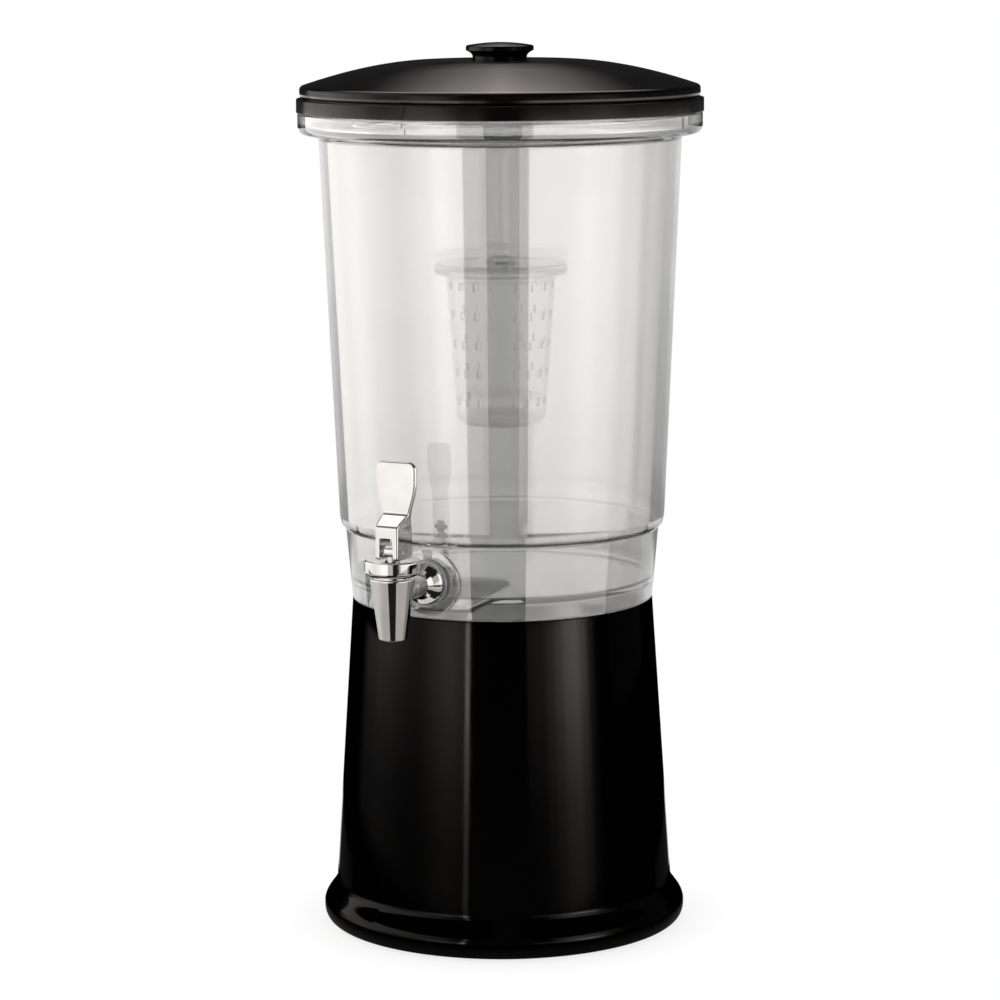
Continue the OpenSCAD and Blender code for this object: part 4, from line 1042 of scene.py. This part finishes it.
# %% Lever loft
TOE_ROWS = (0, 0.1, 0.25, 0.5, 0.8, 1.1, 1.5, 2.0, 3.0)
NECK_LOW, BLADE_LOW, PADDLE_LOW = FOOT_FACE_H - 2, FOOT_FACE_H + NECK_RISE + 6, PADDLE_H - PADDLE_CORNER
TOP_ROWS = 14


def even_steps(start, end, count):
    """Heights from start to end in even steps, without the start."""
    return [start + (end - start) * k / count for k in range(1, count + 1)]


heights = [rise - FOOT_DROP for rise in TOE_ROWS]
heights += even_steps(heights[-1], NECK_LOW, 6)
heights += even_steps(NECK_LOW, BLADE_LOW, 16)
heights += even_steps(BLADE_LOW, PADDLE_LOW, 10)
for k in range(1, TOP_ROWS):
    heights.append(PADDLE_H - PADDLE_CORNER * (1 - math.sin(math.radians(90 * k / TOP_ROWS))))
at_pivot = Matrix.Translation((0, -SPOUT_Y, PIVOT_Z))
bm = bmesh.new()
rows = [[bm.verts.new(at_pivot @ Vector((x, -s, h))) for x, s in section_points(h)] for h in heights]
for low, high in zip(rows, rows[1:]):
    for i in range(len(low)):
        span(bm, low, high, i, i + 1)
bm.faces.new(rows[0])
bm.faces.new(rows[-1])
lever = finish_mesh("lever_casting", bm)
print("lever loft:", len(heights), "sections")

# %% Fork and pin
FORK_W, FORK_RISE, FORK_BACK, FORK_REACH, FORK_ROUND = 10.0, 10.4, 6.8, 20, 1.2
PIN_R, PIN_PLAY = 1.6, 0.02
fork_sides = [
    (-FORK_W / 2, -FORK_REACH), (FORK_W / 2, -FORK_REACH), (FORK_W / 2, FORK_BACK), (-FORK_W / 2, FORK_BACK),
]
fork_place = at_pivot @ Matrix.Translation((0, 0, -FORK_REACH))
fork = prism("fork", fork_sides, FORK_REACH + FORK_RISE, fork_place)
soft = fork.modifiers.new("soft", "BEVEL")
soft.width = FORK_ROUND * MM
soft.segments = 3
settle(fork)
shape(lever, fork)
across = at_pivot @ Matrix.Rotation(math.pi / 2, 4, "Y")
shape(lever, round_block(PIN_R + PIN_PLAY, -FOOT_W, FOOT_W, 48, across))
dress(lever, CHROME, "lever", "chrome", "tap_lever")
lever.visible_glossy = False
pin = turned("lever_pin_steel", [
    (0, -FOOT_W / 2), (PIN_R, -FOOT_W / 2, 0.5), (PIN_R, FOOT_W / 2, 0.5), (0, FOOT_W / 2),
], segments=48, place=across)
dress(pin, STEEL, "lever", "steel", "lever_pin")

# %% [markdown]
# ## The pieces inside the tap
# The stem, the plug and the seals already have their true shapes as solids. They only need their
# finishes. The return spring is wound again as one wire, which has to shorten when the stem rises;
# here it is wound once, at rest, from the stem up to the washer.

# %% Finishes on the inner solids
INNER_FINISH = {
    "valve_stem": STEEL, "spring_washer": STEEL,
    "valve_plug": SILICONE, "bonnet_gasket": SILICONE, "stem_seal": RUBBER,
}
for name, material in INNER_FINISH.items():
    nodes[name].data.materials.clear()
    nodes[name].data.materials.append(material)
print("finished solids:", ", ".join(INNER_FINISH))

# %% Return spring
SPRING_Z, SPRING_TOP_Z, SPRING_R, WIRE_R, SPRING_TURNS = 253.6, 271.7, 5.3, 0.5, 6
COIL_STEPS, WIRE_SIDES = 24 * SPRING_TURNS, 8
bm = bmesh.new()
coil = []
for k in range(COIL_STEPS + 1):
    share = k / COIL_STEPS
    turn = Matrix.Rotation(math.tau * SPRING_TURNS * share, 4, "Z")
    rise = SPRING_Z + WIRE_R + (SPRING_TOP_Z - SPRING_Z - 2 * WIRE_R) * share
    round_wire = [math.tau * s / WIRE_SIDES for s in range(WIRE_SIDES)]
    ring = [Vector((SPRING_R + WIRE_R * math.cos(b), 0, rise + WIRE_R * math.sin(b))) for b in round_wire]
    coil.append([bm.verts.new(at_spout @ turn @ point) for point in ring])
for low, high in zip(coil, coil[1:]):
    for i in range(WIRE_SIDES):
        span(bm, low, high, i, i + 1)
bm.faces.new(coil[0])
bm.faces.new(coil[-1])
spring = finish_mesh("return_spring_wire", bm)
spring.data.materials.append(STEEL)
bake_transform(spring)
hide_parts("return_spring")
print("return spring:", SPRING_TURNS, "turns,", len(spring.data.polygons), "faces")

# %% [markdown]
# ## Floor and light
# The photograph is a white studio picture with almost no shadow. A large white floor would throw
# light back at the object, so a small round one holds the soft contact shadow and fades to pure
# white at its edge. White counts only for what is looked at: camera, mirror and see-through rays
# find the white paper, and no extra light falls on the object from it. The gloss of the stand stays
# dark down to its foot, so the floor is kept off the stand by light linking.

# %% Floor helpers


def joined(tree, how, first, second):
    """One number from two, such as their product or the larger one."""
    node = tree.nodes.new("ShaderNodeMath")
    node.operation = how
    tree.links.new(first, node.inputs[0])
    tree.links.new(second, node.inputs[1])
    return node.outputs["Value"]


def looked_at(tree):
    """Two numbers: 1 for rays that show a thing straight or through a clear wall, 1 for mirror rays."""
    rays = tree.nodes.new("ShaderNodeLightPath")
    direct = joined(tree, "MAXIMUM", rays.outputs["Is Camera Ray"], rays.outputs["Is Transmission Ray"])
    return direct, rays.outputs["Is Glossy Ray"]


print("floor helpers: joined, looked_at")

# %% Floor
FLOOR_R, SHADOW_NEAR, SHADOW_FAR, SHADOW_LIFT = 0.2, 0.112, 0.165, 0.8
PAPER_TONE, PAPER_ROUGH = (0.92, 0.92, 0.92), 0.9
floor_mesh = bpy.data.meshes.new("floor")
bm = bmesh.new()
bmesh.ops.create_circle(bm, cap_ends=True, radius=FLOOR_R, segments=128)
bm.to_mesh(floor_mesh)
bm.free()
floor = bpy.data.objects.new("floor", floor_mesh)
bpy.context.scene.collection.objects.link(floor)
paper, tree, shader = new_finish("white_paper")
shader.inputs["Base Color"].default_value = (*PAPER_TONE, 1)
shader.inputs["Roughness"].default_value = PAPER_ROUGH
glow = tree.nodes.new("ShaderNodeEmission")
where = tree.nodes.new("ShaderNodeTexCoord")
length = tree.nodes.new("ShaderNodeVectorMath")
length.operation = "LENGTH"
fade = tree.nodes.new("ShaderNodeMapRange")
fade.interpolation_type = "SMOOTHSTEP"
fade.inputs["From Min"].default_value = SHADOW_NEAR
fade.inputs["From Max"].default_value = SHADOW_FAR
fade.inputs["To Min"].default_value = SHADOW_LIFT
blend = tree.nodes.new("ShaderNodeMixShader")
direct, mirrored = looked_at(tree)
tree.links.new(where.outputs["Object"], length.inputs[0])
tree.links.new(length.outputs["Value"], fade.inputs["Value"])
shown = joined(tree, "MULTIPLY", fade.outputs["Result"], joined(tree, "MAXIMUM", direct, mirrored))
tree.links.new(shown, blend.inputs["Fac"])
tree.links.new(shader.outputs["BSDF"], blend.inputs[1])
tree.links.new(glow.outputs["Emission"], blend.inputs[2])
tree.links.new(blend.outputs["Shader"], tree.nodes["Material Output"].inputs["Surface"])
floor_mesh.materials.append(paper)
all_but_stand = bpy.data.collections.new("all_but_stand")
all_but_stand.objects.link(stand)
all_but_stand.collection_objects[0].light_linking.link_state = "EXCLUDE"
floor.light_linking.receiver_collection = all_but_stand
print("floor radius:", FLOOR_R)

# %% [markdown]
# ### Glowing cards
# Clear plastic, chrome and gloss black show little of their own colour: they show the room. Lamps
# would leave hard spots on them, so the room is built from curved white cards that stand round the
# object with a dark gap towards the camera. Each card glows by two ramps, one along its arc and one
# up its height. Far cards draw the soft bands on the stand and its foot, near ones hang higher and
# whiten the container, the collar and the skirt, low ones fill the spout and the lower wall, one at
# the back lights the clear wall from behind, and two overhead lay the broad shine on the lid. The
# camera itself doesn't see them. The cards that belong to the clear wall are kept off the stand by
# light linking, because its gloss stays black where they would show.

# %% Card helpers
CARD_STEPS = 40
SOFT_WHITE, WARM, WHITE = (1.0, 0.975, 0.95), (1.0, 0.93, 0.91), (1.0, 1.0, 1.0)


def level_ramp(tree, source, stops):
    """A brightness that follows (place, level) stops from 0 to 1."""
    ramp = tree.nodes.new("ShaderNodeValToRGB")
    ramp.color_ramp.interpolation = "EASE"
    points = ramp.color_ramp.elements
    while len(points) < len(stops):
        points.new(0.5)
    for point, (place, level) in zip(points, stops):
        point.position = place
        point.color = (level, level, level, 1)
    tree.links.new(source, ramp.inputs["Fac"])
    return ramp.outputs["Color"]


def glow_card(name, place, strength, across, upward, colour=SOFT_WHITE, on_stand=True):
    """A glowing sheet: place(u, v) gives its points, and two lists of stops give its level."""
    bm = bmesh.new()
    spot = bm.loops.layers.uv.new("card")
    edges = [[bm.verts.new(place(i / CARD_STEPS, v)) for i in range(CARD_STEPS + 1)] for v in (0, 1)]
    for i in range(CARD_STEPS):
        corners = [(i, 0), (i + 1, 0), (i + 1, 1), (i, 1)]
        face = bm.faces.new([edges[v][k] for k, v in corners])
        for loop, (k, v) in zip(face.loops, corners):
            loop[spot].uv = (k / CARD_STEPS, v)
    mesh = bpy.data.meshes.new(name)
    bm.to_mesh(mesh)
    bm.free()
    material = bpy.data.materials.new(name)
    material.use_nodes = True
    tree = material.node_tree
    tree.nodes.remove(tree.nodes["Principled BSDF"])
    where = tree.nodes.new("ShaderNodeTexCoord")
    split = tree.nodes.new("ShaderNodeSeparateXYZ")
    lamp = tree.nodes.new("ShaderNodeEmission")
    lamp.inputs["Color"].default_value = (*colour, 1)
    scale = tree.nodes.new("ShaderNodeMath")
    scale.operation = "MULTIPLY"
    scale.inputs[1].default_value = strength
    tree.links.new(where.outputs["UV"], split.inputs[0])
    along_arc = level_ramp(tree, split.outputs["X"], across)
    up_height = level_ramp(tree, split.outputs["Y"], upward)
    tree.links.new(joined(tree, "MULTIPLY", along_arc, up_height), scale.inputs[0])
    tree.links.new(scale.outputs["Value"], lamp.inputs["Strength"])
    tree.links.new(lamp.outputs["Emission"], tree.nodes["Material Output"].inputs["Surface"])
    mesh.materials.append(material)
    card = bpy.data.objects.new(name, mesh)
    bpy.context.scene.collection.objects.link(card)
    card.visible_camera = False
    if not on_stand:
        card.light_linking.receiver_collection = all_but_stand
    print(name, "strength", strength)
    return card


def standing(start_deg, end_deg, away, low, high):
    """Points of an upright card on an arc, by bearing from the camera: positive is to its right."""
    def place(u, v):
        bearing = VIEW_SIDE + math.radians(start_deg + (end_deg - start_deg) * u)
        return Vector((away * math.sin(bearing), -away * math.cos(bearing), low + (high - low) * v))
    return place


def hung(widths, backs, heights):
    """Points of a flat sheet square to the camera, from its first width, distance and height on."""
    def place(u, v):
        width, back, height = (a + (b - a) * v for a, b in (widths, backs, heights))
        side = (u - 0.5) * width
        c, s = math.cos(VIEW_SIDE), math.sin(VIEW_SIDE)
        return Vector((side * c - back * s, side * s + back * c, height))
    return place


print("cards have", CARD_STEPS, "steps")

# %% Cards for the stand
FAR = 1.7
LEFT_END, LEFT_GAP, RIGHT_GAP, RIGHT_END = -126, -23.5, 17, 84
LEVEL = [(0.0, 1.0), (1.0, 1.0)]
FAR_LOW, FAR_HIGH = -0.215, 0.3
FOOT_LEFT_TOP, FOOT_RIGHT_TOP = 2.5, 0.9
far_up = [(0.0, 0.12), (0.126, 0.14), (0.231, 0.22), (0.371, 0.45), (0.499, 0.8), (0.627, 1.0), (1.0, 1.0)]
glow_card("far_left", standing(LEFT_END, LEFT_GAP, FAR, FAR_LOW, FAR_HIGH), 0.85, [
    (0.0, 0.05), (0.13, 0.5), (0.27, 0.8), (0.6, 0.35), (0.86, 1.0), (0.955, 0.7), (0.965, 0.7),
    (0.97, 4.0), (0.995, 4.0), (1.0, 1.0),
], far_up)
glow_card("far_right", standing(RIGHT_GAP, RIGHT_END, FAR, FAR_LOW, FAR_HIGH), 2.4, [
    (0.0, 0.08), (0.16, 0.12), (0.26, 0.26), (0.36, 0.5), (0.45, 0.84), (0.55, 1.0), (0.64, 0.62),
    (0.74, 0.12), (0.82, 0.01), (1.0, 0.0),
], far_up)
glow_card("foot_left", standing(LEFT_END, -24, FAR, FAR_HIGH, FOOT_LEFT_TOP), 0.6, [
    (0.0, 1.0), (0.55, 0.95), (0.8, 0.5), (0.95, 0.1), (0.975, 0.1), (0.98, 1.8), (1.0, 1.8),
], LEVEL)
glow_card("foot_right", standing(30, RIGHT_END, FAR, FAR_HIGH, FOOT_RIGHT_TOP), 0.9, [
    (0.0, 0.2), (0.3, 0.85), (0.5, 0.7), (0.8, 0.15), (1.0, 0.0),
], LEVEL)

# %% Near cards for the container, the collar and the skirt
NEAR = 0.42
WING_FOOT, WING_LOW, WING_HIGH, WING_TOP = 0.17, 0.21, 0.548, 0.66
wing_up = [(0.0, 0.86), (0.133, 0.89), (0.373, 0.96), (0.71, 1.0), (1.0, 1.0)]
glow_card("near_left", standing(LEFT_END, -7.7, NEAR, WING_LOW, WING_HIGH), 2.2, [
    (0.0, 0.7), (0.12, 0.78), (0.25, 0.92), (0.42, 0.85), (0.58, 0.71), (0.7, 0.83), (0.79, 1.0),
    (0.888, 0.9), (0.898, 0.42), (1.0, 0.4),
], wing_up, on_stand=False)
glow_card("near_right", standing(10, 115, NEAR, WING_LOW, WING_HIGH), 2.2, [
    (0.0, 0.34), (0.047, 0.34), (0.055, 0.8), (0.19, 0.86), (0.38, 0.96), (0.5, 0.86), (0.67, 0.62),
    (0.85, 0.42), (1.0, 0.3),
], wing_up, on_stand=False)
glow_card("low_wing", standing(LEFT_END, -86, NEAR, WING_FOOT, WING_LOW), 1.5, [
    (0.0, 0.75), (0.3, 0.9), (0.5, 1.0), (0.87, 1.0), (1.0, 0.8),
], LEVEL, on_stand=False)
glow_card("skirt_left", standing(LEFT_END, -9, NEAR, WING_HIGH, WING_TOP), 1.2, [
    (0.0, 0.4), (0.14, 0.73), (0.23, 0.97), (0.34, 0.96), (0.44, 0.78), (0.55, 0.33), (0.64, 0.27),
    (0.735, 0.6), (0.82, 0.42), (0.89, 0.13), (0.92, 0.0), (1.0, 0.0),
], LEVEL)
glow_card("skirt_right", standing(20, 70, NEAR, WING_HIGH, WING_TOP), 0.25, [
    (0.0, 0.1), (0.2, 0.3), (0.4, 0.6), (0.6, 1.0), (0.75, 0.4), (0.88, 0.1), (1.0, 0.0),
], LEVEL)

# %% Cards behind and below
BACK_START, BACK_END, BACK_LOW, BACK_HIGH = 125, 235, -0.3, 0.46
LOW, LOW_SIDE_TOP = -0.9, -0.05
back_up = [
    (0.0, 0.8), (0.263, 0.8), (0.316, 0.25), (0.355, 0.28), (0.395, 0.36), (0.467, 0.52), (0.684, 0.66),
    (0.75, 0.76), (1.0, 0.85),
]
low_up = [(0.0, 0.68), (0.63, 0.68), (0.79, 1.0), (1.0, 1.0)]
glow_card("far_back", standing(BACK_START, BACK_END, FAR, BACK_LOW, BACK_HIGH), 1.0, [
    (0.0, 0.76), (0.3, 0.88), (0.45, 1.0), (1.0, 1.0),
], back_up, WHITE, on_stand=False)
for name, start, end, top, strength in (
    ("low_left", LEFT_END, LEFT_GAP, FAR_LOW, 1.0), ("low_right", RIGHT_GAP, RIGHT_END, FAR_LOW, 1.0),
    ("low_side", RIGHT_END, BACK_START, LOW_SIDE_TOP, 0.5),
):
    glow_card(name, standing(start, end, FAR, LOW, top), strength, LEVEL, low_up, on_stand=False)

# %% Cards overhead
half_bell = [(0.0, 0.0), (0.05, 0.04), (0.12, 0.1), (0.175, 0.165), (0.285, 0.32), (0.38, 0.45), (0.44, 0.5)]
bell = [*half_bell, (0.5, 0.7), *((1 - place, level) for place, level in reversed(half_bell))]
glow_card("top_sheet", hung((4.6, 4.6), (-0.9, 2.2), (2.6, 2.6)), 5.8, bell, [
    (0.0, 0.2), (0.38, 0.22), (0.46, 0.9), (0.52, 1.3), (0.7, 1.25), (1.0, 0.8),
], WARM)
glow_card("back_fan", hung((0.12, 1.8), (2.0, 2.0), (0.85, 2.6)), 3.4, bell, [
    (0.0, 0.0), (0.05, 0.02), (0.2, 0.1), (0.41, 0.27), (0.6, 0.4), (0.72, 0.6), (1.0, 1.0),
], WARM)

# %% [markdown]
# ### The room
# Behind the cards the room is nearly dark, so that black stays black. Only straight and see-through
# rays find white in it, and mirror rays find white just behind the object, where the page would
# show in a clear wall at a flat angle. A plain white world would be simpler, but it would light the
# object from all sides and wash the gloss away.

# %% World
ROOM_DIM = 0.02
BACKDROP_DIP, BACKDROP_EDGE, BACKDROP_FULL = -0.29, 16, 12
LIGHT_BOUNCES = 24
behind_object = Vector((-math.sin(VIEW_SIDE), math.cos(VIEW_SIDE), BACKDROP_DIP)).normalized()
world = bpy.data.worlds.new("studio")
bpy.context.scene.world = world
world.use_nodes = True
tree = world.node_tree
tree.nodes.clear()
room = tree.nodes.new("ShaderNodeBackground")
room.inputs["Strength"].default_value = ROOM_DIM
white = tree.nodes.new("ShaderNodeBackground")
for shade in (room, white):
    shade.inputs["Color"].default_value = (1, 1, 1, 1)
where = tree.nodes.new("ShaderNodeTexCoord")
behind = tree.nodes.new("ShaderNodeVectorMath")
behind.operation = "DOT_PRODUCT"
behind.inputs[1].default_value = behind_object
sweep = tree.nodes.new("ShaderNodeMapRange")
sweep.interpolation_type = "SMOOTHSTEP"
sweep.inputs["From Min"].default_value = math.cos(math.radians(BACKDROP_EDGE))
sweep.inputs["From Max"].default_value = math.cos(math.radians(BACKDROP_FULL))
choose = tree.nodes.new("ShaderNodeMixShader")
output = tree.nodes.new("ShaderNodeOutputWorld")
direct, mirrored = looked_at(tree)
tree.links.new(where.outputs["Generated"], behind.inputs[0])
tree.links.new(behind.outputs["Value"], sweep.inputs["Value"])
backdrop = joined(tree, "MULTIPLY", mirrored, sweep.outputs["Result"])
tree.links.new(joined(tree, "MAXIMUM", direct, backdrop), choose.inputs["Fac"])
tree.links.new(room.outputs["Background"], choose.inputs[1])
tree.links.new(white.outputs["Background"], choose.inputs[2])
tree.links.new(choose.outputs["Shader"], output.inputs["Surface"])
bpy.context.scene.view_settings.view_transform = "Standard"
bpy.context.scene.cycles.max_bounces = LIGHT_BOUNCES
bpy.context.scene.cycles.transmission_bounces = LIGHT_BOUNCES
print("world: room level", ROOM_DIM)
